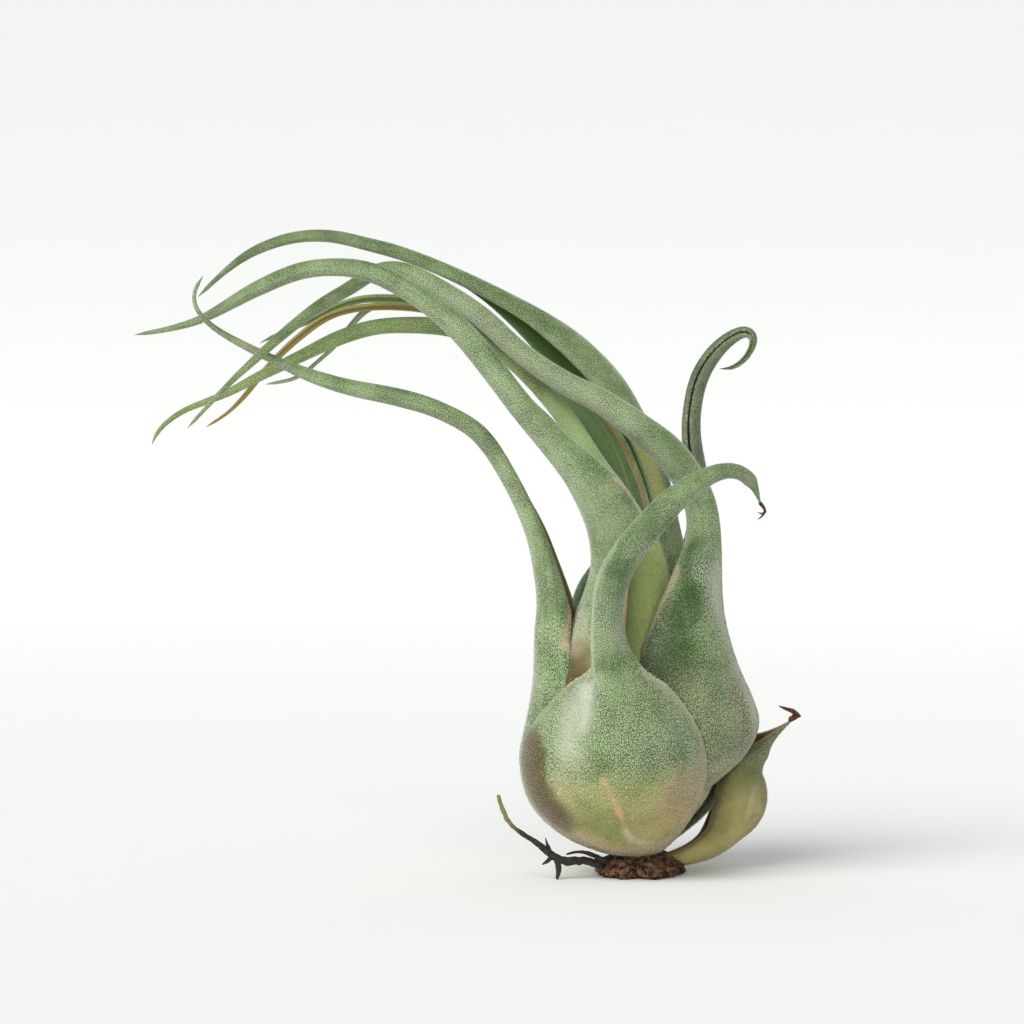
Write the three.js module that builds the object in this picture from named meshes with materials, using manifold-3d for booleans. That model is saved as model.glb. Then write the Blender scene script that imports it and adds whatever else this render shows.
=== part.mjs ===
// An air plant that stands on its rootstock, in millimetres, +Z up. The origin is the middle of the
// rootstock's flat underside, -Y is the front and +X the right. Each leaf is one solid: a clasping,
// inflated sheath that helps to form the bulb, and a long blade rolled into a tapering channel.

import * as THREE from 'three';
import { mergeVertices } from 'three/addons/utils/BufferGeometryUtils.js';
import Module from 'manifold-3d';

const wasm = await Module();
wasm.setup();

// ---- driving dimensions -------------------------------------------------------------------------

const CLEARANCE = 0.3; // gap between a leaf and what it lies against
const MARGIN_WALL = 0.9; // thickness of a leaf at its margins
const OUTER_POINTS = 8; // points round the outside of a leaf's section
const INNER_POINTS = 5; // points round the inside of its channel
const SECTIONS_PER_STATION = 1.3;
const LEAST_RADIUS = 0.3; // of a leaf, at its tip
const LEAST_CHANNEL = 0.2; // radius of a leaf's channel, as a share of the leaf's own
const SURFACE_TOLERANCE = 0.04; // how far a leaf's skin may move when its small triangles are joined
const MERGE_TOLERANCE = 1e-4;
const UP = new THREE.Vector3(0, 0, 1);

const ROOTSTOCK_FOOT = 9.2; // radius of the flat underside
const ROOTSTOCK_HEIGHT = 3.4; // of the stub below the bulb
const AXIS_RADIUS = 2.4; // the short stem that the leaves grow from
const AXIS_TOP = 12;
const ROOTSTOCK_SIDES = 22;
const RAGGED = [{ waves: 5, depth: 0.05, turn: 0.7 }, { waves: 9, depth: 0.035, turn: 0 }]; // round its rim
const ROOT_SIDES = 6;
const ROOT_SECTIONS_PER_STATION = 1.5;

const COLOURS = { rootstock: 0x4a3a2c, rootLong: 0x2b211a, rootShort: 0x3a2c20 };
const ROUGHNESS = { leaf: 0.85, wood: 0.95, root: 0.9 };

// A leaf, from its base to its tip:
//   stations  [x, y, z, radius] of the rolled leaf's centre line and its outside
//   neck      the station where the sheath has become the blade; sections below it are level
//   facing    [station, x, y, z], the way the leaf's back looks
//   wrap      [station, degrees], how far the leaf rolls to each side of its midrib
//   wall      [station, thickness at the midrib]
const LEAVES = {
  leaf_front: {
    colour: 0x7f9a72,
    neck: 9,
    stations: [
      [-0.3, 0, 3.6, 3], [-1.9, -0.5, 5.1, 6.9], [-3.5, -1.2, 8, 11.6], [-4.7, -2, 13.6, 16.5],
      [-4.8, -2.5, 21, 18.8], [-4.8, -4, 28.3, 17.8], [-4.9, -8, 34.5, 13.7], [-4.4, -12.4, 39, 9.4],
      [-4.9, -16, 42, 5], [-6.1, -17.6, 45.5, 3.8], [-6.8, -20, 51.7, 3], [-5.9, -22, 59.1, 3.1],
      [-2.9, -24, 64.9, 3], [0.9, -25, 69.7, 2.9], [5.8, -25.5, 74.9, 2.5], [11.2, -25, 78.9, 1.9],
      [16.3, -23.5, 80.7, 1.5], [20.2, -21, 79.5, 1.4], [22.2, -19, 76.5, 1.2], [23.1, -18, 73.6, 0.6],
    ],
    facing: [[0, -0.05, -1, 0], [19, -0.1, -1, 0]],
    wrap: [[0, 100], [4, 96], [7, 96], [9, 112], [11, 130], [19, 130]],
    wall: [[0, 3.5], [5, 3.5], [8, 2.2], [9, 1.8], [19, 1]],
  },
  leaf_short: {
    colour: 0x76804f,
    neck: 0,
    stations: [
      [4, 2.2, 2.6, 1.7], [10.3, 5, 4, 2.6], [15.2, 8, 6.5, 3.9], [17.9, 10, 10, 5.5],
      [20, 11, 13.1, 6.7], [20.6, 11, 16.8, 6.3], [21.1, 11, 20.5, 5], [23, 10.5, 23.6, 3.8],
      [25.8, 10, 26.2, 3.1], [28.7, 9.6, 28.3, 2.3], [31, 9, 29.9, 1.5], [32.4, 8.5, 31.2, 0.7],
    ],
    facing: [[0, 0.3, 0.2, -1], [3, 1, -0.1, -0.4], [6, 1, -0.1, -0.3], [8, 0.6, 0.45, -0.8],
      [11, 0.6, 0.4, -0.8]],
    wrap: [[0, 130], [5, 135], [9, 122], [11, 100]],
    wall: [[0, 1.6], [5, 1.8], [11, 1]],
  },
  leaf_right: {
    colour: 0x6f8c68,
    neck: 11,
    stations: [
      [1.4, 1, 4.5, 2.8], [3, 2, 9.2, 4.6], [4.6, 4, 14, 6.6], [6.8, 5, 18.2, 9],
      [9, 6.3, 23, 12.5], [9.6, 6.5, 29.5, 15.2], [9.3, 6, 35, 14.1], [9, 2.5, 40.4, 11.7],
      [9.3, -1.8, 46, 9.2], [10, -5, 53.1, 6.8], [11.3, -6.3, 59.9, 5], [12.6, -6.5, 66.1, 3.7],
      [12.4, -6, 73, 3.2], [10, -6, 78.9, 3.2], [5.7, -6, 84.7, 3.2], [0.1, -6, 89.2, 2.9],
      [-7, -6, 94.2, 2.5], [-15.1, -5.5, 98.4, 2.3], [-23.2, -4.5, 104, 2.1], [-31.2, -3, 111.4, 2.1],
      [-39.4, -1, 117.1, 1.9], [-46.6, 0.5, 121, 1.6], [-52, 0.5, 121, 1.5], [-57.5, -1.5, 117.3, 1.4],
      [-63.7, -5, 113.3, 1.2], [-70.2, -10, 107.6, 1], [-75.6, -13.5, 102.3, 0.8],
      [-81.2, -15, 96.8, 0.5], [-88.3, -16, 89, 0.3],
    ],
    facing: [[0, 0.6, -0.8, 0], [8, 0.5, -0.85, 0], [13, -0.1, -0.95, -0.3], [28, -0.2, -0.9, -0.3]],
    wrap: [[0, 112], [9, 115], [12, 125], [28, 125]],
    wall: [[0, 3.2], [7, 3.2], [11, 1.6], [28, 0.8]],
  },
  leaf_left: {
    colour: 0x6d8a66,
    neck: 9,
    stations: [
      [-0.8, -1, 3.9, 2.4], [-2.4, -1, 5.9, 6.8], [-4.8, -1, 10.1, 11.6], [-6.8, -1, 16.1, 15],
      [-8.3, -1, 23.1, 15.6], [-9.2, -1, 30.1, 13.5], [-11, -1.5, 36.7, 10.2], [-13.6, -2, 43.1, 7.2],
      [-15.6, -3, 49.1, 5.1], [-16.3, -4, 54.3, 4], [-17.9, -5, 61.1, 3.1], [-20.4, -6, 69.4, 2.45],
      [-25, -7, 78.9, 2.15], [-31.3, -8, 88, 2], [-39.2, -9, 92.7, 1.9], [-47.2, -9.5, 95.2, 1.9],
      [-57.1, -10, 97.2, 1.7], [-64.7, -10, 99.5, 1.4], [-72.2, -10, 102.7, 1], [-79.5, -11.5, 106.3, 0.8],
      [-83.9, -13, 109, 0.6], [-86.6, -13.5, 111.7, 0.5], [-87.6, -13.5, 114.4, 0.4],
      [-87, -13, 116.8, 0.4], [-85.7, -12.5, 118.8, 0.3],
    ],
    facing: [[0, -1, -0.2, 0], [6, -0.93, -0.3, 0], [9, -0.96, 0.28, 0], [11, -0.95, 0.2, -0.2],
      [13, -0.7, -0.6, -0.4], [24, -0.4, -0.7, -0.6]],
    wrap: [[0, 90], [6, 78], [7, 88], [8, 115], [8.7, 150], [10, 150], [12, 128], [24, 125]],
    wall: [[0, 3.2], [6, 3], [9, 1.4], [24, 0.8]],
  },
  leaf_back_right: {
    colour: 0x6b8765,
    neck: 7,
    stations: [
      [1.5, 3, 4.3, 2.4], [3.1, 6, 8, 6.9], [4.8, 8, 14.2, 12.2], [5.7, 9, 22.3, 15],
      [6.1, 10, 30.3, 14.6], [7, 11, 38.4, 12.2], [9, 12, 48.5, 8.2], [11.2, 13.8, 58.7, 4.6],
      [13.2, 15.5, 68.9, 2.6], [12.8, 16, 79.2, 2.3], [11.6, 16, 88, 2], [11.9, 17, 94.2, 1.9],
      [13.5, 18, 100.6, 1.9], [16.8, 18, 105.8, 1.7], [20.3, 17, 108.8, 1.4], [22.9, 14.5, 109.7, 1.1],
      [24.1, 11.5, 108.1, 0.9], [23.3, 9, 105.5, 0.7], [21.4, 7.5, 103, 0.6], [19.1, 7, 101.5, 0.4],
      [16.9, 7.5, 101.6, 0.3],
    ],
    facing: [[0, 0.5, 0.85, 0], [20, 0.5, 0.85, 0]],
    wrap: [[0, 70], [3, 70], [6, 100], [8, 160], [14, 160], [17, 112], [20, 100]],
    wall: [[0, 3], [5, 3], [8, 1.4], [20, 0.8]],
  },
  leaf_back_left: {
    colour: 0x668260,
    neck: 7,
    stations: [
      [-0.7, 3, 4.3, 2.4], [-1.8, 6, 8, 6.9], [-3.3, 8, 14.2, 11.8], [-4.1, 9, 22.3, 14.2],
      [-4.3, 10, 30.3, 13.8], [-4.4, 10.5, 38.4, 11.4], [-5.2, 11, 47.5, 9.4], [-6, 11.5, 56.7, 6.4],
      [-5.4, 12, 63.8, 2.5], [-6.8, 12.5, 72, 2.5], [-11.3, 13, 81.2, 2.1], [-17, 13.5, 89, 1.9],
      [-23.6, 14, 95.9, 1.6], [-29.7, 14, 103.5, 1.4], [-35.8, 13.5, 110.2, 1.2], [-42, 13, 114.1, 1],
      [-48.5, 13, 115.5, 0.9], [-53.8, 13, 114.7, 0.7], [-57.5, 12.5, 111.4, 0.6], [-61.1, 12, 106.7, 0.5],
      [-64.7, 11.5, 103.4, 0.4], [-69, 11, 99.9, 0.4], [-75.3, 10.5, 98.6, 0.3],
    ],
    facing: [[0, -0.55, 0.85, 0], [22, -0.3, 0.85, 0.2]],
    wrap: [[0, 95], [6, 100], [9, 160], [22, 160]],
    wall: [[0, 3], [5, 3], [8, 1.4], [22, 0.8]],
  },
  leaf_middle: {
    colour: 0x7d9470,
    neck: 10,
    stations: [
      [0.2, -1, 4.7, 2], [-0.8, -1, 7.9, 7.2], [-2.1, -1.5, 12.8, 12.4], [-2.7, -2, 19.2, 15.7],
      [-2.9, -2, 27.2, 16.3], [-2.9, -2, 35.2, 15.5], [-2.5, -2, 43.1, 13.5], [-2, -2.6, 51.2, 11.1],
      [-1.5, -4, 57.2, 9.1], [-2, -7, 63.1, 7.5], [-4.6, -10, 70.6, 6.1], [-9.1, -12.2, 77.9, 4.9],
      [-14.6, -13, 83.8, 3.4], [-22.9, -13, 92.9, 2.7], [-29.1, -12.5, 101, 2.6],
      [-35.2, -12, 108.3, 2.5], [-41.3, -11, 113.4, 2.2], [-47.8, -10, 117.6, 2.1],
      [-53.3, -9.5, 120, 2], [-59.1, -9, 120.9, 1.8], [-67, -9, 120.1, 1.7], [-76, -9, 116.3, 1.5],
      [-85.5, -9, 111, 0.9], [-92.2, -9, 108.8, 0.6], [-99.5, -9, 107.5, 0.3],
    ],
    facing: [[0, -0.9, -0.4, 0], [9, -0.95, -0.3, 0], [10, -0.6, -0.8, -0.1], [12, -0.5, -0.8, -0.4],
      [24, -0.3, -0.8, -0.5]],
    wrap: [[0, 80], [5, 66], [8, 64], [9, 66], [10, 108], [12, 120], [24, 125]],
    wall: [[0, 3], [7, 2.6], [11, 1.6], [24, 0.8]],
  },
  leaf_inner_low: {
    colour: 0x7b8c57,
    neck: 6,
    stations: [
      [0.4, 0, 7.8, 1.8], [0.4, 0, 12, 5.2], [0, 0.5, 19, 8.8], [0, 0.5, 28, 10],
      [0.4, 1.5, 37, 8.6], [0.8, 2.3, 46, 6.9], [1, 1.3, 55, 6], [0.6, -0.3, 63, 5.2],
      [-2.1, -1.4, 71, 3.9], [-5.4, -1.5, 77, 3.4], [-7.8, -1, 80.8, 3], [-11.5, 0, 87.4, 2.45],
      [-15.2, 1, 93, 2.3], [-20.8, 2, 99.5, 2.15], [-26.5, 3, 104.8, 2.1], [-31.2, 3, 108, 2],
      [-37.7, 2.5, 109.8, 2], [-43.7, 2, 110.3, 1.9], [-52, 1, 109.9, 1.7], [-59.6, 0, 107.6, 1.6],
      [-67.1, -1, 103.9, 1.3], [-74.8, -2, 100.1, 1.1], [-82.3, -3, 96.1, 0.8], [-89.8, -4, 93.1, 0.6],
      [-93.5, -4, 90.7, 0.5], [-95.9, -4, 88.3, 0.4], [-96.7, -4, 86.1, 0.3],
    ],
    facing: [[0, -0.3, -0.95, 0], [7, -0.4, -0.9, 0], [10, -0.6, -0.6, -0.5], [26, -0.3, -0.6, -0.7]],
    wrap: [[0, 100], [7, 105], [10, 112], [26, 125]],
    wall: [[0, 3], [5, 2.6], [8, 1.4], [26, 0.8]],
  },
  leaf_top: {
    colour: 0x67855f,
    neck: 8,
    stations: [
      [0.9, 2, 5.6, 2.4], [1.8, 4, 9.4, 7.2], [2.7, 6, 15.4, 11.7], [3.1, 7, 23.4, 13.4],
      [3.1, 7.5, 31.5, 13], [3.6, 8, 39.6, 10.9], [4.4, 8.5, 47.7, 8.5], [5, 9, 54.7, 6.7],
      [5.1, 9.5, 61.8, 5.5], [4, 10, 68.9, 5], [2.4, 10.5, 76.5, 5], [0.1, 11, 84.2, 5.1],
      [-3.2, 11.5, 90.9, 5.2], [-7.3, 12, 97.1, 5.6], [-13.2, 12, 103.6, 5.3], [-18.9, 11.5, 108.7, 4.4],
      [-23.8, 11, 112.5, 3.4], [-31.3, 10, 117.3, 2.4], [-39.6, 9, 121.5, 1.9], [-47.9, 8, 124.9, 1.6],
      [-54.2, 7.5, 126.7, 1.4], [-62, 7, 128.4, 1.3], [-69.7, 6.5, 128, 1.2], [-77.3, 6, 125.3, 1],
      [-83.1, 5.5, 121.2, 0.6], [-88.5, 5, 116, 0.3],
    ],
    facing: [[0, 0.7, 0.7, 0], [8, 0.95, 0.25, 0], [11, 0.8, 0.2, 0.5], [16, 0.6, 0, 0.7],
      [18, 0.3, -0.6, 0.7], [20, 0, -0.9, 0.4], [25, 0, -0.9, 0.3]],
    wrap: [[0, 105], [8, 108], [11, 104], [16, 104], [19, 118], [25, 125]],
    wall: [[0, 3], [6, 2.4], [9, 1.3], [25, 0.8]],
  },
  leaf_inner_mid: {
    colour: 0x7d9c58,
    neck: 5,
    stations: [
      [1.3, 3, 9.5, 1.6], [1.8, 3.5, 14.7, 4.4], [2.2, 4, 22.7, 6.8], [2.6, 4, 32.7, 7.2],
      [3, 4, 42.8, 6.4], [2.6, 4, 52.9, 5.2], [1.9, 4.4, 61.9, 4.4], [0, 4.7, 68.5, 3.8],
      [-1.5, 4.9, 75.4, 3.7], [-3.5, 5, 81.1, 3.6], [-6.6, 5.4, 87.7, 3.4], [-10.8, 6, 93.4, 3.1],
      [-17, 7, 98.7, 2.4], [-23.3, 7.5, 104.1, 1.9], [-29.9, 7.5, 109.1, 1.6], [-36.7, 7, 112.3, 1.4],
      [-43.8, 6.5, 113.6, 1.1], [-50.9, 6, 114, 1], [-57.5, 5.5, 113.4, 0.9], [-62.7, 5, 111.7, 0.9],
      [-67.3, 5, 108.5, 0.9], [-71.8, 5, 104.5, 0.8], [-75.6, 4.5, 100.4, 0.7], [-78.8, 4, 96.2, 0.6],
      [-82.4, 4, 92.5, 0.4], [-86.8, 4, 89.7, 0.3],
    ],
    facing: [[0, 0.1, 1, 0], [6, 0.1, 1, 0], [10, 0.3, 0.85, 0.4], [25, 0.2, 0.8, 0.5]],
    wrap: [[0, 110], [7, 110], [12, 90], [16, 76], [25, 80]],
    wall: [[0, 2.4], [5, 2], [8, 1.2], [25, 0.8]],
  },
  leaf_inner_high: {
    colour: 0x86a260,
    neck: 4,
    stations: [
      [1.8, 5.5, 12, 1.4], [2.7, 7, 18.4, 3.4], [3.2, 8, 28.4, 4.9], [3.6, 8.5, 38.5, 4.9],
      [4, 9, 48.6, 4], [4.3, 9.8, 58.8, 3.2], [3.4, 10.6, 68.9, 2.7], [1.3, 11.3, 77, 2.5],
      [-1.4, 11.6, 84.5, 2.2], [-6.6, 11.7, 90.2, 1.9], [-12.1, 11.6, 95.9, 1.8], [-18.1, 11.2, 101.5, 1.6],
      [-24.2, 10.7, 106, 1.4], [-30, 10.5, 111.8, 1.4], [-38, 10.5, 114.2, 1.2], [-46.5, 10.3, 115.6, 1.1],
      [-54.9, 10, 115.8, 1],
      [-60.6, 10, 114.3, 0.9], [-65.6, 9.5, 111.6, 0.8], [-70.3, 9, 109.7, 0.6], [-76.4, 9, 106.9, 0.3],
    ],
    facing: [[0, 0.1, 1, 0], [6, 0.1, 1, 0], [10, 0.5, 0.75, 0.4], [20, 0.2, 0.8, 0.5]],
    wrap: [[0, 110], [6, 110], [10, 92], [14, 76], [20, 80]],
    wall: [[0, 2.4], [5, 1.6], [8, 1.1], [20, 0.8]],
  },
};

// ---- solids -------------------------------------------------------------------------------------

// A closed BufferGeometry as a solid that can be cut and joined.
function solidFrom(geometry) {
  const bare = new THREE.BufferGeometry();
  bare.setAttribute('position', geometry.getAttribute('position'));
  bare.setIndex(geometry.index);
  const merged = mergeVertices(bare, MERGE_TOLERANCE);
  return new wasm.Manifold(new wasm.Mesh({
    numProp: 3,
    vertProperties: merged.attributes.position.array,
    triVerts: new Uint32Array(merged.index.array),
  }));
}

function geometryFrom(solid) {
  const mesh = solid.getMesh();
  const geometry = new THREE.BufferGeometry();
  geometry.setAttribute('position', new THREE.BufferAttribute(mesh.vertProperties, 3));
  geometry.setIndex(new THREE.BufferAttribute(mesh.triVerts, 1));
  geometry.computeVertexNormals();
  return geometry;
}

// The largest body of a cut solid, without the loose scraps that a cut leaves.
function largestBody(solid) {
  const bodies = solid.decompose();
  bodies.sort((a, b) => b.volume() - a.volume());
  return bodies[0];
}

// ---- the sweep of a leaf ------------------------------------------------------------------------

// Catmull-Rom through the stations: all four numbers at place s.
function stationAt(stations, s) {
  const last = stations.length - 1;
  const i = Math.min(Math.floor(s), last - 1);
  const t = s - i;
  const at = (k) => stations[THREE.MathUtils.clamp(k, 0, last)];
  return stations[0].map((_, axis) => {
    const [a, b, c, d] = [at(i - 1)[axis], at(i)[axis], at(i + 1)[axis], at(i + 2)[axis]];
    return b + 0.5 * t * (c - a + t * (2 * a - 5 * b + 4 * c - d + t * (3 * (b - c) + d - a)));
  });
}

// The values of a list of [station, value, ...] keys at place s, linear between its keys.
function keyedAt(keys, s) {
  const next = keys.findIndex((key) => key[0] >= s);
  if (next < 0) return keys[keys.length - 1].slice(1);
  if (next === 0) return keys[0].slice(1);
  const [from, to] = [keys[next - 1], keys[next]];
  const t = (s - from[0]) / (to[0] - from[0]);
  return from.slice(1).map((value, k) => THREE.MathUtils.lerp(value, to[k + 1], t));
}

// The way the stations run at place s.
function directionAt(stations, s) {
  const step = 0.05;
  const before = stationAt(stations, Math.max(s - step, 0));
  const after = stationAt(stations, Math.min(s + step, stations.length - 1));
  return new THREE.Vector3(after[0] - before[0], after[1] - before[1], after[2] - before[2]).normalize();
}

// The section's normal at place s: up in the sheath, along the path in the blade.
function sectionNormal(leaf, s) {
  const along = directionAt(leaf.stations, s);
  const blade = leaf.neck === 0 ? 1 : THREE.MathUtils.smoothstep(s, leaf.neck - 2, leaf.neck + 1.5);
  return UP.clone().lerp(along, blade).normalize();
}

// The closed outline of the leaf's section at place s, grown outwards by grow.
function sectionAt(leaf, s, grow) {
  const [x, y, z, radius] = stationAt(leaf.stations, s);
  const normal = sectionNormal(leaf, s);
  const back = new THREE.Vector3(...keyedAt(leaf.facing, s)).projectOnPlane(normal).normalize();
  const side = new THREE.Vector3().crossVectors(normal, back);
  const outer = Math.max(radius, LEAST_RADIUS) + grow;
  const half = THREE.MathUtils.degToRad(keyedAt(leaf.wrap, s)[0]) + grow / outer;
  const thickness = keyedAt(leaf.wall, s)[0] + 2 * grow;
  const margin = Math.min(MARGIN_WALL, thickness) + 2 * grow;
  const point = (r, angle) => new THREE.Vector3(x, y, z)
    .addScaledVector(back, r * Math.cos(angle))
    .addScaledVector(side, r * Math.sin(angle));
  const outline = [];
  for (let i = 0; i < OUTER_POINTS; i += 1) {
    outline.push(point(outer, THREE.MathUtils.lerp(-half, half, i / (OUTER_POINTS - 1))));
  }
  for (let i = 0; i < INNER_POINTS; i += 1) {
    const across = THREE.MathUtils.lerp(1, -1, i / (INNER_POINTS - 1));
    const wall = THREE.MathUtils.lerp(thickness, margin, across * across);
    outline.push(point(Math.max(outer - wall, LEAST_CHANNEL * outer), half * across));
  }
  return outline;
}

// A crescent with a section's points in their order, which says how the flat ends are triangulated.
function plainSection() {
  const half = THREE.MathUtils.degToRad(100);
  const arc = (count, radius, from) => Array.from({ length: count }, (_, i) => {
    const angle = THREE.MathUtils.lerp(from, -from, i / (count - 1));
    return new THREE.Vector2(radius * Math.cos(angle), radius * Math.sin(angle));
  });
  return [...arc(OUTER_POINTS, 1, -half), ...arc(INNER_POINTS, 0.5, half)];
}

// The leaf's solid: its sections joined into one closed skin, with a flat end at the base and tip.
function leafSolid(leaf, grow = 0) {
  const last = leaf.stations.length - 1;
  const count = Math.round(last * SECTIONS_PER_STATION);
  const round = OUTER_POINTS + INNER_POINTS;
  const positions = [];
  const triangles = [];
  for (let k = 0; k <= count; k += 1) {
    sectionAt(leaf, (last * k) / count, grow).forEach((p) => positions.push(p.x, p.y, p.z));
  }
  for (let k = 0; k < count; k += 1) {
    for (let i = 0; i < round; i += 1) {
      const a = k * round + i;
      const b = k * round + ((i + 1) % round);
      triangles.push(a, b, b + round, a, b + round, a + round);
    }
  }
  for (const [a, b, c] of THREE.ShapeUtils.triangulateShape(plainSection(), [])) {
    triangles.push(a, c, b);
    triangles.push(count * round + a, count * round + b, count * round + c);
  }
  const geometry = new THREE.BufferGeometry();
  geometry.setAttribute('position', new THREE.Float32BufferAttribute(positions, 3));
  geometry.setIndex(triangles);
  return solidFrom(geometry);
}

// ---- rootstock and roots ------------------------------------------------------------------------

// The woody stub, ragged where old sheaths broke off, with the short stem inside the bulb.
function rootstockSolid(grow = 0) {
  const profile = [
    [0, 0], [ROOTSTOCK_FOOT, 0], [ROOTSTOCK_FOOT - 0.4, 1.6], [ROOTSTOCK_FOOT - 2.2, ROOTSTOCK_HEIGHT],
    [4.4, ROOTSTOCK_HEIGHT + 0.9], [AXIS_RADIUS + 0.6, 6], [AXIS_RADIUS, AXIS_TOP - 1.5], [0, AXIS_TOP],
  ].map(([r, z]) => new THREE.Vector2(r > 0 ? r + grow : 0, z + (z > 0 ? grow : 0)));
  const turned = new THREE.LatheGeometry(profile, ROOTSTOCK_SIDES);
  turned.rotateX(Math.PI / 2);
  const position = turned.getAttribute('position');
  for (let i = 0; i < position.count; i += 1) {
    const angle = Math.atan2(position.getY(i), position.getX(i));
    let ragged = 1;
    for (const { waves, depth, turn } of RAGGED) ragged += depth * Math.sin(waves * angle + turn);
    position.setX(i, position.getX(i) * ragged);
    position.setY(i, position.getY(i) * ragged);
  }
  return solidFrom(turned);
}

// A root or spur: a thin round solid along its points, [x, y, z, radius], tapering to its ends.
function rootSolid(stations) {
  const sides = ROOT_SIDES;
  const last = stations.length - 1;
  const count = Math.round(last * ROOT_SECTIONS_PER_STATION);
  const positions = [];
  const triangles = [];
  let back = new THREE.Vector3(0, 0, 1);
  for (let k = 0; k <= count; k += 1) {
    const s = (last * k) / count;
    const [x, y, z, radius] = stationAt(stations, s);
    const along = directionAt(stations, s);
    back = back.projectOnPlane(along).normalize();
    const side = new THREE.Vector3().crossVectors(along, back);
    for (let i = 0; i < sides; i += 1) {
      const angle = (2 * Math.PI * i) / sides;
      const p = new THREE.Vector3(x, y, z)
        .addScaledVector(back, radius * Math.cos(angle))
        .addScaledVector(side, radius * Math.sin(angle));
      positions.push(p.x, p.y, Math.max(p.z, 0));
    }
  }
  for (let k = 0; k < count; k += 1) {
    for (let i = 0; i < sides; i += 1) {
      const a = k * sides + i;
      const b = k * sides + ((i + 1) % sides);
      triangles.push(a, b, b + sides, a, b + sides, a + sides);
    }
  }
  for (let i = 1; i < sides - 1; i += 1) {
    triangles.push(0, i + 1, i);
    triangles.push(count * sides, count * sides + i, count * sides + i + 1);
  }
  const geometry = new THREE.BufferGeometry();
  geometry.setAttribute('position', new THREE.Float32BufferAttribute(positions, 3));
  geometry.setIndex(triangles);
  return solidFrom(geometry);
}

const ROOT_LONG = [
  [-7.5, -5, 2.6, 0.8], [-10.9, -6, 3.6, 0.8], [-14.7, -7, 3.6, 0.8], [-17.5, -7.5, 5, 0.75],
  [-20.3, -8, 7.3, 0.55], [-23.4, -8, 9.3, 0.45], [-25.6, -7.5, 11.1, 0.45], [-27, -7, 13.6, 0.45],
  [-27.9, -6.4, 16.4, 0.35],
];
const ROOT_LONG_SPURS = [
  [[-16.2, -7.2, 3.8, 0.7], [-16, -7.4, 1.8, 0.6], [-16.4, -7.6, 0, 0.5]],
  [[-17, -7.4, 4.8, 0.6], [-18.2, -7.8, 3.6, 0.5], [-19.4, -8.4, 2.8, 0.4]],
  [[-17.6, -7.5, 5.2, 0.6], [-18.1, -7.7, 6.6, 0.5], [-18.4, -8, 7.8, 0.4]],
];
const ROOT_SHORT = [
  [-6.5, -6.2, 3.3, 0.6], [-9.5, -7.6, 5, 0.5], [-12, -8.4, 5.6, 0.45], [-14.4, -9, 5.2, 0.35],
];

function rootLongSolid() {
  return ROOT_LONG_SPURS.reduce((root, spur) => root.add(rootSolid(spur)), rootSolid(ROOT_LONG));
}

// ---- the plant ----------------------------------------------------------------------------------

function piece(name, solid, colour, roughness) {
  const material = new THREE.MeshStandardMaterial({ color: colour, roughness, metalness: 0 });
  const mesh = new THREE.Mesh(geometryFrom(solid), material);
  mesh.name = name;
  return mesh;
}

const plant = new THREE.Group();
plant.add(piece('rootstock', rootstockSolid(), COLOURS.rootstock, ROUGHNESS.wood));

// Each leaf is cut clear of the rootstock and of the leaves outside it.
let outside = rootstockSolid(CLEARANCE);
for (const [name, leaf] of Object.entries(LEAVES)) {
  const whole = leafSolid(leaf);
  const cut = largestBody(whole.subtract(outside));
  plant.add(piece(name, cut.simplify(SURFACE_TOLERANCE), leaf.colour, ROUGHNESS.leaf));
  outside = outside.add(leafSolid(leaf, CLEARANCE));
}
const rootLong = largestBody(rootLongSolid().subtract(outside));
const rootShort = largestBody(rootSolid(ROOT_SHORT).subtract(outside));
plant.add(piece('root_long', rootLong, COLOURS.rootLong, ROUGHNESS.root));
plant.add(piece('root_short', rootShort, COLOURS.rootShort, ROUGHNESS.root));

export default plant;
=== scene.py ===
"""An air plant that rests on its rootstock: eleven rolled leaves with inflated, clasping sheaths,
frosted with fine scales, two dark roots and a crumbling brown stub. Lengths are in millimetres until
a mesh is made; the frame's metres come from MM. The leaves go from the outermost to the innermost."""

import math

import bmesh
import bpy
import numpy as np
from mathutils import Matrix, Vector
from mathutils.bvhtree import BVHTree
from mathutils.kdtree import KDTree


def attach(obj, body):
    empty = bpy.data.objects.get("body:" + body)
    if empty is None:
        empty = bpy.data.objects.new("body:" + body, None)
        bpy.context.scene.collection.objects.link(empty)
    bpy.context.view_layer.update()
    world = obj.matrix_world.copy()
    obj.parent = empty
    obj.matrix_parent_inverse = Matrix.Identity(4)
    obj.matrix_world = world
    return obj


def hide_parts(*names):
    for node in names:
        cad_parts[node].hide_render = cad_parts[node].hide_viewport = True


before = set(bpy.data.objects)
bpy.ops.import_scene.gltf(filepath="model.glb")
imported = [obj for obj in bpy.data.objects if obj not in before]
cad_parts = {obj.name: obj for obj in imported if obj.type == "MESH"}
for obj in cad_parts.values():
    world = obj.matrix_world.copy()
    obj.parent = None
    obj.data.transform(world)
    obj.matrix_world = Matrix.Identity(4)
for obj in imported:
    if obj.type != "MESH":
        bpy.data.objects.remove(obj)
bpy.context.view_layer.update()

MM = 0.001
UP = np.array([0.0, 0.0, 1.0])

# ---- camera, in the photograph's place ------------------------------------------------------------

CAMERA_AT = (-0.0252, -0.6, 0.0726)
LENS = 105.47
SENSOR = 36.0

# ---- shape of a leaf's section --------------------------------------------------------------------

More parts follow.
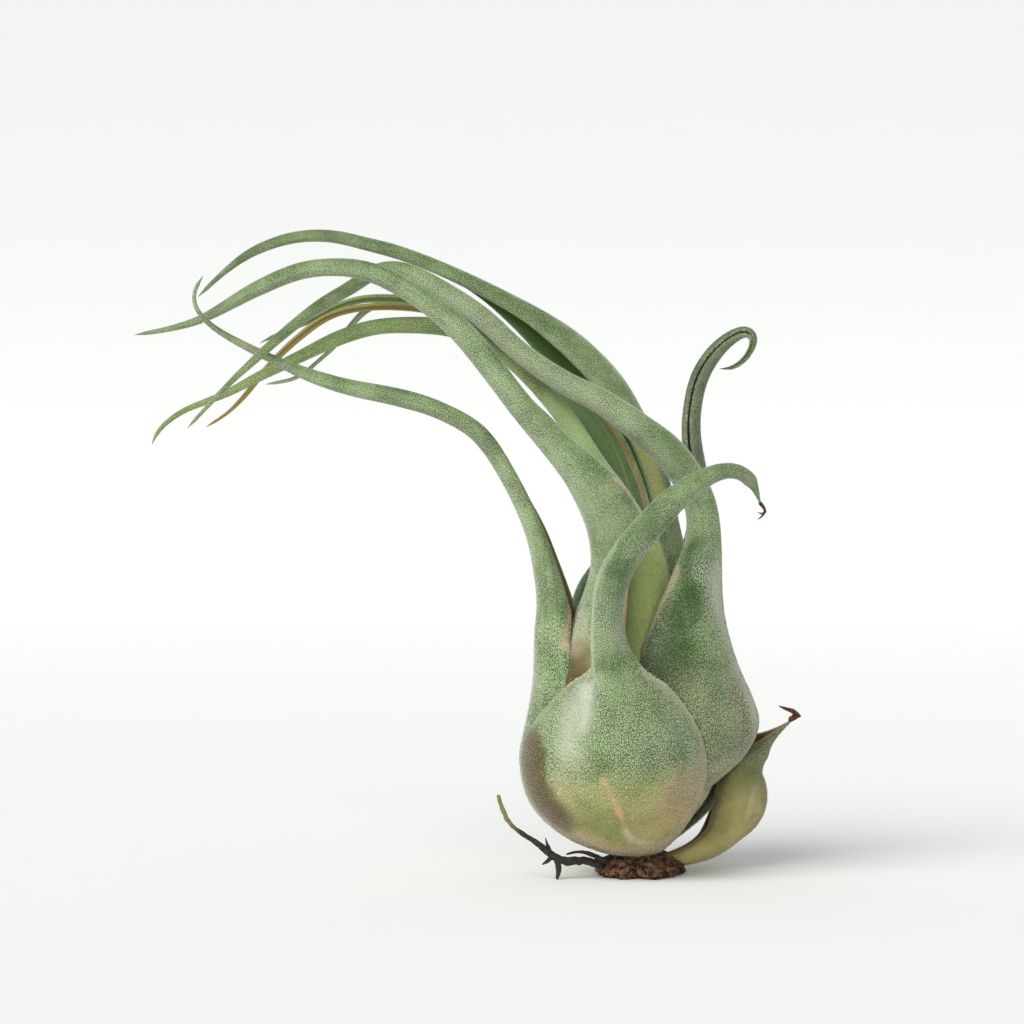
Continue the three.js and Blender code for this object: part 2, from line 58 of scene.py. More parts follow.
SPACING = 0.5  # between a leaf's sections
OUTER_POINTS = 41
FRONT_POINTS = 111  # the same, on the leaf in front, whose folds are fine
INNER_POINTS = 23
LIP = 0.42  # thickness at a leaf's margins
SOLID_MARGIN = 0.9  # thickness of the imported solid's margins
CLEARANCE = 0.12  # kept between a leaf and the leaf that clasps it
TIP_RADIUS = 0.06
TIP_TAPER = 0.14  # how fast a tip's radius grows with the distance from it
TIP_LENGTH = 8.0  # past which the taper no longer binds
LUMPS = 0.014  # how uneven a leaf's back is, as a share of its radius, or of LUMPS_REACH if less
LUMPS_REACH = 14
LUMPS_ROUND, LUMPS_LENGTH = 2.6, 9.0  # lumps to a radian across the back, and millimetres to a lump
DROP = (0.8, 1.0)  # the share of the way to the margin over which the back thins to the lip
MOST_LIP, MOST_DROP, LEAST_INSIDE = 0.5, 0.3, 0.2  # a thin leaf's lip, drop and channel, of its radius
BULGE = 0.45  # how far a margin's round edge stands out, of the lip's thickness
BLUR = 1.6  # over which a leaf's stations are softened

# stations: [x, y, z, radius] of the centre line and the outside. neck: the station where the sheath
# has become the blade. facing: [station, x, y, z], the way the back looks. wrap: [station, degrees]
# to each side of the midrib. wall: [station, thickness at the midrib].
LEAVES = {
    "leaf_front": dict(
        neck=9,
        stations=[
            [-0.3, 0, 3.6, 3], [-1.9, -0.5, 5.1, 6.9], [-3.5, -1.2, 8, 11.6], [-4.7, -2, 13.6, 16.5],
            [-4.8, -2.5, 21, 18.8], [-4.8, -4, 28.3, 17.8], [-4.9, -8, 34.5, 13.7], [-4.4, -12.4, 39, 9.4],
            [-4.9, -16, 42, 5], [-6.1, -17.6, 45.5, 3.8], [-6.8, -20, 51.7, 3], [-5.9, -22, 59.1, 3.1],
            [-2.9, -24, 64.9, 3], [0.9, -25, 69.7, 2.9], [5.8, -25.5, 74.9, 2.5], [11.2, -25, 78.9, 1.9],
            [16.3, -23.5, 80.7, 1.5], [20.2, -21, 79.5, 1.4], [22.2, -19, 76.5, 1.2], [23.1, -18, 73.6, 0.6],
        ],
        facing=[[0, -0.05, -1, 0], [19, -0.1, -1, 0]],
        wrap=[[0, 100], [4, 96], [7, 96], [9, 112], [11, 130], [19, 130]],
        wall=[[0, 3.5], [5, 3.5], [8, 2.2], [9, 1.8], [19, 1]],
    ),
    "leaf_short": dict(
        neck=0,
        stations=[
            [4, 2.2, 2.6, 1.7], [10.3, 5, 4, 2.6], [15.2, 8, 6.5, 3.9], [17.9, 10, 10, 5.5],
            [20, 11, 13.1, 6.7], [20.6, 11, 16.8, 6.3], [21.1, 11, 20.5, 5], [23, 10.5, 23.6, 3.8],
            [25.8, 10, 26.2, 3.1], [28.7, 9.6, 28.3, 2.3], [31, 9, 29.9, 1.5], [32.4, 8.5, 31.2, 0.7],
        ],
        facing=[[0, 0.3, 0.2, -1], [3, 1, -0.1, -0.4], [6, 1, -0.1, -0.3], [8, 0.6, 0.45, -0.8],
                [11, 0.6, 0.4, -0.8]],
        wrap=[[0, 130], [5, 135], [9, 122], [11, 100]],
        wall=[[0, 1.6], [5, 1.8], [11, 1]],
    ),
    "leaf_right": dict(
        neck=11,
        stations=[
            [1.4, 1, 4.5, 2.8], [3, 2, 9.2, 4.6], [4.6, 4, 14, 6.6], [6.8, 5, 18.2, 9],
            [9, 6.3, 23, 12.5], [9.6, 6.5, 29.5, 15.2], [9.3, 6, 35, 14.1], [9, 2.5, 40.4, 11.7],
            [9.3, -1.8, 46, 9.2], [10, -5, 53.1, 6.8], [11.3, -6.3, 59.9, 5], [12.6, -6.5, 66.1, 3.7],
            [12.4, -6, 73, 3.2], [10, -6, 78.9, 3.2], [5.7, -6, 84.7, 3.2], [0.1, -6, 89.2, 2.9],
            [-7, -6, 94.2, 2.5], [-15.1, -5.5, 98.4, 2.3], [-23.2, -4.5, 104, 2.1], [-31.2, -3, 111.4, 2.1],
            [-39.4, -1, 117.1, 1.9], [-46.6, 0.5, 121, 1.6], [-52, 0.5, 121, 1.5], [-57.5, -1.5, 117.3, 1.4],
            [-63.7, -5, 113.3, 1.2], [-70.2, -10, 107.6, 1], [-75.6, -13.5, 102.3, 0.8],
            [-81.2, -15, 96.8, 0.5], [-88.3, -16, 89, 0.3],
        ],
        facing=[[0, 0.6, -0.8, 0], [8, 0.5, -0.85, 0], [13, -0.1, -0.95, -0.3], [28, -0.2, -0.9, -0.3]],
        wrap=[[0, 112], [9, 115], [12, 125], [28, 125]],
        wall=[[0, 3.2], [7, 3.2], [11, 1.6], [28, 0.8]],
    ),
    "leaf_left": dict(
        neck=9,
        stations=[
            [-0.8, -1, 3.9, 2.4], [-2.4, -1, 5.9, 6.8], [-4.8, -1, 10.1, 11.6], [-6.8, -1, 16.1, 15],
            [-8.3, -1, 23.1, 15.6], [-9.2, -1, 30.1, 13.5], [-11, -1.5, 36.7, 10.2], [-13.6, -2, 43.1, 7.2],
            [-15.6, -3, 49.1, 5.1], [-16.3, -4, 54.3, 4], [-17.9, -5, 61.1, 3.1], [-20.4, -6, 69.4, 2.45],
            [-25, -7, 78.9, 2.15], [-31.3, -8, 88, 2], [-39.2, -9, 92.7, 1.9], [-47.2, -9.5, 95.2, 1.9],
            [-57.1, -10, 97.2, 1.7], [-64.7, -10, 99.5, 1.4], [-72.2, -10, 102.7, 1],
            [-79.5, -11.5, 106.3, 0.8], [-83.9, -13, 109, 0.6], [-86.6, -13.5, 111.7, 0.5],
            [-87.6, -13.5, 114.4, 0.4], [-87, -13, 116.8, 0.4], [-85.7, -12.5, 118.8, 0.3],
        ],
        facing=[[0, -1, -0.2, 0], [6, -0.93, -0.3, 0], [9, -0.96, 0.28, 0], [11, -0.95, 0.2, -0.2],
                [13, -0.7, -0.6, -0.4], [24, -0.4, -0.7, -0.6]],
        wrap=[[0, 90], [6, 78], [7, 88], [8, 115], [8.7, 150], [10, 150], [12, 128], [24, 125]],
        wall=[[0, 3.2], [6, 3], [9, 1.4], [24, 0.8]],
    ),
    "leaf_back_right": dict(
        neck=7,
        stations=[
            [1.5, 3, 4.3, 2.4], [3.1, 6, 8, 6.9], [4.8, 8, 14.2, 12.2], [5.7, 9, 22.3, 15],
            [6.1, 10, 30.3, 14.6], [7, 11, 38.4, 12.2], [9, 12, 48.5, 8.2], [11.2, 13.8, 58.7, 4.6],
            [13.2, 15.5, 68.9, 2.6], [12.8, 16, 79.2, 2.3], [11.6, 16, 88, 2], [11.9, 17, 94.2, 1.9],
            [13.5, 18, 100.6, 1.9], [16.8, 18, 105.8, 1.7], [20.3, 17, 108.8, 1.4], [22.9, 14.5, 109.7, 1.1],
            [24.1, 11.5, 108.1, 0.9], [23.3, 9, 105.5, 0.7], [21.4, 7.5, 103, 0.6], [19.1, 7, 101.5, 0.4],
            [16.9, 7.5, 101.6, 0.3],
        ],
        facing=[[0, 0.5, 0.85, 0], [20, 0.5, 0.85, 0]],
        wrap=[[0, 70], [3, 70], [6, 100], [8, 160], [14, 160], [17, 112], [20, 100]],
        wall=[[0, 3], [5, 3], [8, 1.4], [20, 0.8]],
    ),
    "leaf_back_left": dict(
        neck=7,
        stations=[
            [-0.7, 3, 4.3, 2.4], [-1.8, 6, 8, 6.9], [-3.3, 8, 14.2, 11.8], [-4.1, 9, 22.3, 14.2],
            [-4.3, 10, 30.3, 13.8], [-4.4, 10.5, 38.4, 11.4], [-5.2, 11, 47.5, 9.4], [-6, 11.5, 56.7, 6.4],
            [-5.4, 12, 63.8, 2.5], [-6.8, 12.5, 72, 2.5], [-11.3, 13, 81.2, 2.1], [-17, 13.5, 89, 1.9],
            [-23.6, 14, 95.9, 1.6], [-29.7, 14, 103.5, 1.4], [-35.8, 13.5, 110.2, 1.2], [-42, 13, 114.1, 1],
            [-48.5, 13, 115.5, 0.9], [-53.8, 13, 114.7, 0.7], [-57.5, 12.5, 111.4, 0.6],
            [-61.1, 12, 106.7, 0.5], [-64.7, 11.5, 103.4, 0.4], [-69, 11, 99.9, 0.4],
            [-75.3, 10.5, 98.6, 0.3],
        ],
        facing=[[0, -0.55, 0.85, 0], [22, -0.3, 0.85, 0.2]],
        wrap=[[0, 95], [6, 100], [9, 160], [22, 160]],
        wall=[[0, 3], [5, 3], [8, 1.4], [22, 0.8]],
    ),
    "leaf_middle": dict(
        neck=10,
        stations=[
            [0.2, -1, 4.7, 2], [-0.8, -1, 7.9, 7.2], [-2.1, -1.5, 12.8, 12.4], [-2.7, -2, 19.2, 15.7],
            [-2.9, -2, 27.2, 16.3], [-2.9, -2, 35.2, 15.5], [-2.5, -2, 43.1, 13.5], [-2, -2.6, 51.2, 11.1],
            [-1.5, -4, 57.2, 9.1], [-2, -7, 63.1, 7.5], [-4.6, -10, 70.6, 6.1], [-9.1, -12.2, 77.9, 4.9],
            [-14.6, -13, 83.8, 3.4], [-22.9, -13, 92.9, 2.7], [-29.1, -12.5, 101, 2.6],
            [-35.2, -12, 108.3, 2.5], [-41.3, -11, 113.4, 2.2], [-47.8, -10, 117.6, 2.1],
            [-53.3, -9.5, 120, 2], [-59.1, -9, 120.9, 1.8], [-67, -9, 120.1, 1.7], [-76, -9, 116.3, 1.5],
            [-85.5, -9, 111, 0.9], [-92.2, -9, 108.8, 0.6], [-99.5, -9, 107.5, 0.3],
        ],
        facing=[[0, -0.9, -0.4, 0], [9, -0.95, -0.3, 0], [10, -0.6, -0.8, -0.1], [12, -0.5, -0.8, -0.4],
                [24, -0.3, -0.8, -0.5]],
        wrap=[[0, 80], [5, 66], [8, 64], [9, 66], [10, 108], [12, 120], [24, 125]],
        wall=[[0, 3], [7, 2.6], [11, 1.6], [24, 0.8]],
    ),
    "leaf_inner_low": dict(
        neck=6,
        stations=[
            [0.4, 0, 7.8, 1.8], [0.4, 0, 12, 5.2], [0, 0.5, 19, 8.8], [0, 0.5, 28, 10],
            [0.4, 1.5, 37, 8.6], [0.8, 2.3, 46, 6.9], [1, 1.3, 55, 6], [0.6, -0.3, 63, 5.2],
            [-2.1, -1.4, 71, 3.9], [-5.4, -1.5, 77, 3.4], [-7.8, -1, 80.8, 3], [-11.5, 0, 87.4, 2.45],
            [-15.2, 1, 93, 2.3], [-20.8, 2, 99.5, 2.15], [-26.5, 3, 104.8, 2.1], [-31.2, 3, 108, 2],
            [-37.7, 2.5, 109.8, 2], [-43.7, 2, 110.3, 1.9], [-52, 1, 109.9, 1.7], [-59.6, 0, 107.6, 1.6],
            [-67.1, -1, 103.9, 1.3], [-74.8, -2, 100.1, 1.1], [-82.3, -3, 96.1, 0.8], [-89.8, -4, 93.1, 0.6],
            [-93.5, -4, 90.7, 0.5], [-95.9, -4, 88.3, 0.4], [-96.7, -4, 86.1, 0.3],
        ],
        facing=[[0, -0.3, -0.95, 0], [7, -0.4, -0.9, 0], [10, -0.6, -0.6, -0.5], [26, -0.3, -0.6, -0.7]],
        wrap=[[0, 100], [7, 105], [10, 112], [26, 125]],
        wall=[[0, 3], [5, 2.6], [8, 1.4], [26, 0.8]],
    ),
    "leaf_top": dict(
        neck=8,
        stations=[
            [0.9, 2, 5.6, 2.4], [1.8, 4, 9.4, 7.2], [2.7, 6, 15.4, 11.7], [3.1, 7, 23.4, 13.4],
            [3.1, 7.5, 31.5, 13], [3.6, 8, 39.6, 10.9], [4.4, 8.5, 47.7, 8.5], [5, 9, 54.7, 6.7],
            [5.1, 9.5, 61.8, 5.5], [4, 10, 68.9, 5], [2.4, 10.5, 76.5, 5], [0.1, 11, 84.2, 5.1],
            [-3.2, 11.5, 90.9, 5.2], [-7.3, 12, 97.1, 5.6], [-13.2, 12, 103.6, 5.3],
            [-18.9, 11.5, 108.7, 4.4], [-23.8, 11, 112.5, 3.4], [-31.3, 10, 117.3, 2.4],
            [-39.6, 9, 121.5, 1.9], [-47.9, 8, 124.9, 1.6],
            [-54.2, 7.5, 126.7, 1.4], [-62, 7, 128.4, 1.3], [-69.7, 6.5, 128, 1.2], [-77.3, 6, 125.3, 1],
            [-83.1, 5.5, 121.2, 0.6], [-88.5, 5, 116, 0.3],
        ],
        facing=[[0, 0.7, 0.7, 0], [8, 0.95, 0.25, 0], [10, 0.85, 0.28, 0.3], [12, 0.68, 0.48, 0.55],
                [16, 0.577, 0.46, 0.674], [18, 0.3, -0.3, 0.8], [20, 0, -0.9, 0.4], [25, 0, -0.9, 0.3]],
        wrap=[[0, 105], [8, 108], [10, 106], [12, 122], [16, 122], [18, 118], [25, 125]],
        wall=[[0, 3], [6, 2.4], [9, 1.3], [25, 0.8]],
    ),
    "leaf_inner_mid": dict(
        neck=5,
        stations=[
            [1.3, 3, 9.5, 1.6], [1.8, 3.5, 14.7, 4.4], [2.2, 4, 22.7, 6.8], [2.6, 4, 32.7, 7.2],
            [3, 4, 42.8, 6.4], [2.6, 4, 52.9, 5.2], [1.9, 4.4, 61.9, 4.4], [0, 4.7, 68.5, 3.8],
            [-1.5, 4.9, 75.4, 3.7], [-3.5, 5, 81.1, 3.6], [-6.6, 5.4, 87.7, 3.4], [-10.8, 6, 93.4, 3.1],
            [-17, 7, 98.7, 2.4], [-23.3, 7.5, 104.1, 1.9], [-29.9, 7.5, 109.1, 1.6], [-36.7, 7, 112.3, 1.4],
            [-43.8, 6.5, 113.6, 1.1], [-50.9, 6, 114, 1], [-57.5, 5.5, 113.4, 0.9], [-62.7, 5, 111.7, 0.9],
            [-67.3, 5, 108.5, 0.9], [-71.8, 5, 104.5, 0.8], [-75.6, 4.5, 100.4, 0.7], [-78.8, 4, 96.2, 0.6],
            [-82.4, 4, 92.5, 0.4], [-86.8, 4, 89.7, 0.3],
        ],
        facing=[[0, 0.1, 1, 0], [6, 0.1, 1, 0], [10, 0.3, 0.85, 0.4], [25, 0.2, 0.8, 0.5]],
        wrap=[[0, 110], [7, 110], [12, 90], [16, 76], [25, 80]],
        wall=[[0, 2.4], [5, 2], [8, 1.2], [25, 0.8]],
    ),
    "leaf_inner_high": dict(
        neck=4,
        stations=[
            [1.8, 5.5, 12, 1.4], [2.7, 7, 18.4, 3.4], [3.2, 8, 28.4, 4.9], [3.6, 8.5, 38.5, 4.9],
            [4, 9, 48.6, 4], [4.3, 9.8, 58.8, 3.2], [3.4, 10.6, 68.9, 2.7], [1.3, 11.3, 77, 2.5],
            [-1.4, 11.6, 84.5, 2.2], [-6.6, 11.7, 90.2, 1.9], [-12.1, 11.6, 95.9, 1.8],
            [-18.1, 11.2, 101.5, 1.6], [-24.2, 10.7, 106, 1.4], [-30, 10.5, 111.8, 1.4],
            [-38, 10.5, 114.2, 1.2], [-46.5, 10.3, 115.6, 1.1], [-54.9, 10, 115.8, 1],
            [-60.6, 10, 114.3, 0.9], [-65.6, 9.5, 111.6, 0.8], [-70.3, 9, 109.7, 0.6], [-76.4, 9, 106.9, 0.3],
        ],
        facing=[[0, 0.1, 1, 0], [6, 0.1, 1, 0], [10, 0.5, 0.75, 0.4], [20, 0.2, 0.8, 0.5]],
        wrap=[[0, 110], [6, 110], [10, 92], [14, 76], [20, 80]],
        wall=[[0, 2.4], [5, 1.6], [8, 1.1], [20, 0.8]],
    ),
}

# ---- small tools ----------------------------------------------------------------------------------


def smoothstep(x, low, high):
    t = np.clip((x - low) / (high - low), 0, 1)
    return t * t * (3 - 2 * t)


def unit(v):
    return v / np.maximum(np.linalg.norm(v, axis=-1, keepdims=True), 1e-9)


def noise(p, seed):
    """Smooth noise from -1 to 1 at the points p, with one cell to a unit."""
    cell = np.floor(p).astype(np.int64)
    f = p - cell
    f = f * f * (3 - 2 * f)
    total = np.zeros(len(p))
    for corner in range(8):
        step = np.array([corner & 1, corner >> 1 & 1, corner >> 2 & 1])
        k = cell + step
        h = (k[:, 0] * 374761393 + k[:, 1] * 668265263 + k[:, 2] * 1274126177 + seed * 974711) & 0x7FFFFFFF
        h = ((h ^ (h >> 13)) * 1103515245) & 0x7FFFFFFF
        h = ((h ^ (h >> 16)) * 69069) & 0x7FFFFFFF
        total += np.prod(np.where(step, f, 1 - f), axis=1) * ((h >> 8 & 0xFFFF) / 32767.5 - 1)
    return total


def spline(stations, s):
    """Catmull-Rom through the stations, at the places s."""
    p = np.asarray(stations, float)
    last = len(p) - 1
    i = np.minimum(np.floor(s).astype(int), last - 1)
    t = (s - i)[:, None]
    a, b, c, d = (p[np.clip(i + k, 0, last)] for k in (-1, 0, 1, 2))
    return b + 0.5 * t * (c - a + t * (2 * a - 5 * b + 4 * c - d + t * (3 * (b - c) + d - a)))


def soften(rows, reach):
    """The rows blurred along their length, with both ends kept where they are."""
    size = min(int(3 * reach), len(rows) - 2)
    k = np.exp(-0.5 * (np.arange(-size, size + 1) / reach) ** 2)
    before = 2 * rows[:1] - rows[size:0:-1]
    after = 2 * rows[-1:] - rows[-2 : -size - 2 : -1]
    whole = np.concatenate([before, rows, after])
    return np.stack([np.convolve(column, k / k.sum(), "valid") for column in whole.T], 1)


def keyed(keys, s):
    keys = np.asarray(keys, float)
    return np.stack([np.interp(s, keys[:, 0], column) for column in keys[:, 1:].T], 1)


def even_places(stations, spacing):
    """Places along the stations that lie evenly apart, and the run in millimetres at each."""
    dense = np.linspace(0, len(stations) - 1, 1500)
    steps = np.linalg.norm(np.diff(spline(stations, dense)[:, :3], axis=0), axis=1)
    run = np.concatenate([[0], np.cumsum(steps)])
    along = np.linspace(0, run[-1], int(run[-1] / spacing) + 1)
    return np.interp(along, run, dense), along


def gap_to_line(p, points):
    """The distance of each of p from the line through the points."""
    points = np.asarray(points, float)
    gaps = []
    for a, b in zip(points, points[1:]):
        way = b - a
        t = np.clip((p - a) @ way / (way @ way), 0, 1)
        gaps.append(np.linalg.norm(p - a - t[:, None] * way, axis=1))
    return np.min(gaps, axis=0)


def array_of(data, key, width, dtype=np.float32):
    out = np.empty(len(data) * width, dtype)
    data.foreach_get(key, out)
    return out.reshape(-1, width) if width > 1 else out


def layer_of(mesh, key):
    return array_of(mesh.attributes[key].data, "vector", 3)


def set_layer(mesh, key, values):
    layer = mesh.attributes.get(key) or mesh.attributes.new(key, "FLOAT_VECTOR", "POINT")
    layer.data.foreach_set("vector", np.ascontiguousarray(values, np.float32).ravel())


def new_object(name, points, faces, layers=None):
    mesh = bpy.data.meshes.new(name)
    mesh.from_pydata((np.asarray(points) * MM).tolist(), [], faces)
    for key, values in (layers or {}).items():
        set_layer(mesh, key, values)
    mesh.shade_smooth()
    ob = bpy.data.objects.new(name, mesh)
    bpy.context.scene.collection.objects.link(ob)
    return ob


def skin_faces(count, around):
    """Quads between count rings of around points, and a fan at each end, to two last points."""
    k = np.arange((count - 1) * around)
    right = k - k % around + (k + 1) % around
    faces = np.stack([k, right, right + around, k + around], 1).tolist()
    first, last = count * around, count * around + 1
    for i in range(around):
        j = (i + 1) % around
        faces.append([first, j, i])
        faces.append([last, (count - 1) * around + i, (count - 1) * around + j])
    return faces


# ---- leaves ---------------------------------------------------------------------------------------

LAYERS = ("leaf", "rim", "site")  # see leaf_mesh
SHARP = 50  # degrees past which an edge of a cut leaf is left sharp


def leaf_rows(leaf):
    """What a leaf's sections need, at even places along it."""
    s, along = even_places(leaf["stations"], SPACING)
    blur = BLUR / SPACING
    middle = soften(spline(leaf["stations"], s), blur)
    path = unit(np.gradient(middle[:, :3], axis=0))
    blade = np.ones(len(s)) if leaf["neck"] == 0 else smoothstep(s, leaf["neck"] - 2, leaf["neck"] + 1.5)
    normal = unit(UP * (1 - blade[:, None]) + path * blade[:, None])
    back = soften(keyed(leaf["facing"], s), blur)
    back = unit(back - normal * np.sum(back * normal, 1, keepdims=True))
    shape = soften(np.hstack([keyed(leaf["wrap"], s), keyed(leaf["wall"], s)]), blur)
    left = along[-1] - along
    radius = np.minimum(middle[:, 3], TIP_RADIUS + TIP_TAPER * left + (left / TIP_LENGTH) ** 3)
    return dict(
        middle=middle[:, :3], radius=np.maximum(radius, TIP_RADIUS), back=back, side=np.cross(normal, back),
        half=np.radians(shape[:, 0]), wall=shape[:, 1], along=along, blade=blade,
    )


def leaf_mesh(name, rows, seed, grow=0.0, outer=OUTER_POINTS):
    """The leaf's skin: an outer arc, a rounded lip at each margin and the channel's inside.

    Its points carry three layers. leaf: millimetres across and along. rim: millimetres to the margin, 1
    inside the channel, and 1 in the sheath to 2 in the blade, or -1 on a cut face. site: openness and
    radius."""
    radius = rows["radius"] + grow
    half = rows["half"] + grow / radius
    wall = rows["wall"] + 2 * grow
    margin = np.minimum(LIP + 2 * grow, MOST_LIP * radius)
    drop = np.clip(SOLID_MARGIN - LIP, 0, MOST_DROP * radius)
    across_out = np.linspace(-1, 1, outer)
    across_in = np.linspace(1, -1, INNER_POINTS)
    run = rows["along"]

    def ring(r, angle):
        out = rows["middle"][:, None, :]
        out = out + rows["back"][:, None, :] * (r * np.cos(angle))[..., None]
        return out + rows["side"][:, None, :] * (r * np.sin(angle))[..., None]

    angle_out = half[:, None] * across_out
    along = np.broadcast_to(run[:, None] / LUMPS_LENGTH, angle_out.shape)
    spots = np.stack([angle_out * LUMPS_ROUND + 9, along, np.full(angle_out.shape, seed * 3.7)], -1)
    spots = spots.reshape(-1, 3)
    lumps = noise(spots, seed).reshape(angle_out.shape)
    r_out = radius[:, None] - drop[:, None] * smoothstep(np.abs(across_out), *DROP)
    r_out = r_out + (LUMPS * np.minimum(radius, LUMPS_REACH))[:, None] * lumps
    angle_in = half[:, None] * across_in
    thick = wall[:, None] + (margin - wall)[:, None] * across_in**2
    r_at_in = np.stack([np.interp(across_in, across_out, row) for row in r_out])
    r_in = np.maximum(r_at_in - thick, LEAST_INSIDE * radius[:, None])
    lip_r = 0.5 * (r_out[:, -1] + r_in[:, 0])
    lip_l = 0.5 * (r_out[:, 0] + r_in[:, -1])
    bulge = BULGE * margin / np.maximum(lip_r, 0.05)
    points = np.concatenate([
        ring(r_out, angle_out),
        ring(lip_r[:, None], (half + bulge)[:, None]),
        ring(r_in, angle_in),
        ring(lip_l[:, None], -(half + bulge)[:, None]),
    ], 1)
    count, around = points.shape[:2]
    across = np.concatenate([across_out, [1], across_in, [-1]])
    inner = np.concatenate([np.zeros(outer), [0.5], np.ones(INNER_POINTS), [0.5]])
    arc = across * (half * radius)[:, None]

    def layer(*columns):
        return np.stack([np.broadcast_to(c, arc.shape) for c in columns], -1)

    layers = {
        "leaf": layer(arc, run[:, None], 0.0),
        "rim": layer((1 - np.abs(across)) * (half * radius)[:, None], inner, 1 + rows["blade"][:, None]),
        "site": layer(1.0, radius[:, None], 0.0),
    }
    middles = [points[0].mean(0), points[-1].mean(0)]
    middles[1] = middles[1] + unit(middles[1] - points[-2].mean(0)) * radius[-1]
    flat = np.concatenate([points.reshape(-1, 3), middles])
    layers = {key: np.concatenate([v.reshape(-1, 3), [v[0].mean(0), v[-1].mean(0)]])
              for key, v in layers.items()}
    return new_object(name, flat, skin_faces(count, around), layers)


def largest_island(mesh):
    """Leaves only the island with the most vertices in the mesh."""
    edges = array_of(mesh.edges, "vertices", 2, np.int32)
    label = np.arange(len(mesh.vertices))
    while True:
        low = np.minimum(label[edges[:, 0]], label[edges[:, 1]])
        after = label.copy()
        np.minimum.at(after, edges[:, 0], low)
        np.minimum.at(after, edges[:, 1], low)
        after = after[after]
        if np.array_equal(after, label):
            break
        label = after
    keep = label == np.bincount(label).argmax()
    if keep.all():
        return
    bm = bmesh.new()
    bm.from_mesh(mesh)
    bmesh.ops.delete(bm, geom=[v for v, k in zip(bm.verts, keep) if not k], context="VERTS")
    bm.to_mesh(mesh)
    bm.free()


def overlap(a, b):
    return bool(np.all(a[0] <= b[1]) and np.all(b[0] <= a[1]))


def cut_clear(ob, cutters):
    """Cuts the grown outer leaves from ob, and gives the new vertices the nearest old ones' values."""
    if not cutters:
        return
    old = ob.data
    for cutter in cutters:
        step = ob.modifiers.new("clear", "BOOLEAN")
        step.operation, step.object, step.solver = "DIFFERENCE", cutter, "MANIFOLD"
    seen = ob.evaluated_get(bpy.context.evaluated_depsgraph_get())
    mesh = bpy.data.meshes.new_from_object(seen)
    ob.modifiers.clear()
    largest_island(mesh)
    tree = KDTree(len(old.vertices))
    for i, v in enumerate(old.vertices):
        tree.insert(v.co, i)
    tree.balance()
    lost = np.flatnonzero(layer_of(mesh, "rim")[:, 2] < 0.999)  # old ones hold 1 to 2 there, new ones 0
    source = [tree.find(mesh.vertices[int(i)].co)[1] for i in lost]
    for key in LAYERS:
        now = layer_of(mesh, key)
        now[lost] = layer_of(old, key)[source]
        if key == "rim":
            now[lost, 2] = -1
        set_layer(mesh, key, now)
    ob.data = mesh
    bpy.data.meshes.remove(old)
    mesh.shade_smooth()
    mesh.set_sharp_from_angle(angle=math.radians(SHARP))


def fold(ob, points, reach, height):
    """Raises the skin by height along a line through the points, or sinks it, fading at both ends."""
    mesh = ob.data
    co = array_of(mesh.vertices, "co", 3) / MM
    gap = gap_to_line(co, points)
    points = np.asarray(points, float)
    ends = np.minimum(*(np.linalg.norm(co - end, axis=1) for end in (points[0], points[-1])))
    rise = height * np.exp(-((gap / reach) ** 2)) * smoothstep(ends, 0, 2.5 * reach)
    co = co + array_of(mesh.vertex_normals, "vector", 3) * rise[:, None]
    mesh.vertices.foreach_set("co", np.ascontiguousarray(co * MM, np.float32).ravel())
    mesh.update()


SHORT_RIDGE = [[25.2, 6.2, 19.5], [23.6, 4.9, 16], [22.8, 4.6, 12.5], [22.2, 5, 9]]

# Folds and swells of a sheath, such as where a blade's edge runs on down it: the line, its reach and
# its height.
FOLDS = {
    "leaf_front": [
        ([[-10.5, -16.8, 43.5], [-10.3, -18.2, 40.5], [-9.9, -19.5, 38.5], [-9.2, -20.5, 36],
          [-8.6, -21, 33]], 0.9, -1.3),
        ([[-13.5, -16.5, 38], [-12.4, -18.9, 35], [-12, -19.8, 31], [-12, -20, 27]], 2.2, 0.9),
        ([[-8, -19, 42], [-7.7, -20.6, 38.5], [-7, -21.3, 35], [-6, -21.6, 30]], 1.6, 0.5),
        ([[2, -17, 40], [4.5, -16.5, 36], [7, -15.5, 31]], 2.2, -0.35),
    ],
    "leaf_short": [(SHORT_RIDGE, 0.9, 0.5)],
    "leaf_right": [
        ([[17.5, -7, 44], [20.5, -4, 37], [21.5, -3, 30], [20, -4, 24]], 1.8, -0.45),
        ([[12, -11, 52], [13.5, -10, 44], [15, -9, 36]], 2.2, 0.35),
    ],
}

leaves, grown_leaves = {}, []
for number, (leaf_name, leaf) in enumerate(LEAVES.items()):
    rows = leaf_rows(leaf)
    fineness = FRONT_POINTS if leaf_name == "leaf_front" else OUTER_POINTS
    ob = leaf_mesh("plant_" + leaf_name, rows, number, outer=fineness)
    for line, reach, height in FOLDS.get(leaf_name, ()):
        fold(ob, line, reach, height)
    co = array_of(ob.data.vertices, "co", 3)
    box = (co.min(0), co.max(0))
    cut_clear(ob, [g for g, b in grown_leaves if overlap(box, b)])
    grown = leaf_mesh("grown", rows, number, CLEARANCE)
    grown.hide_render = True
    grown_leaves.append((grown, box))
    leaves[leaf_name] = ob
for grown, _ in grown_leaves:
    bpy.data.objects.remove(grown)

# ---- how open each place on a leaf lies -----------------------------------------------------------

SIGHT = 14.0  # how far a place looks about it
NEAR = 1.0  # a place with a wall nearer than this in front of it is closed
LIFT = 0.3  # how far off the surface the rays start
SIDEWAYS = 0.12  # rays flatter than this to the surface aren't cast
COMPASS = 20  # directions, all round a place


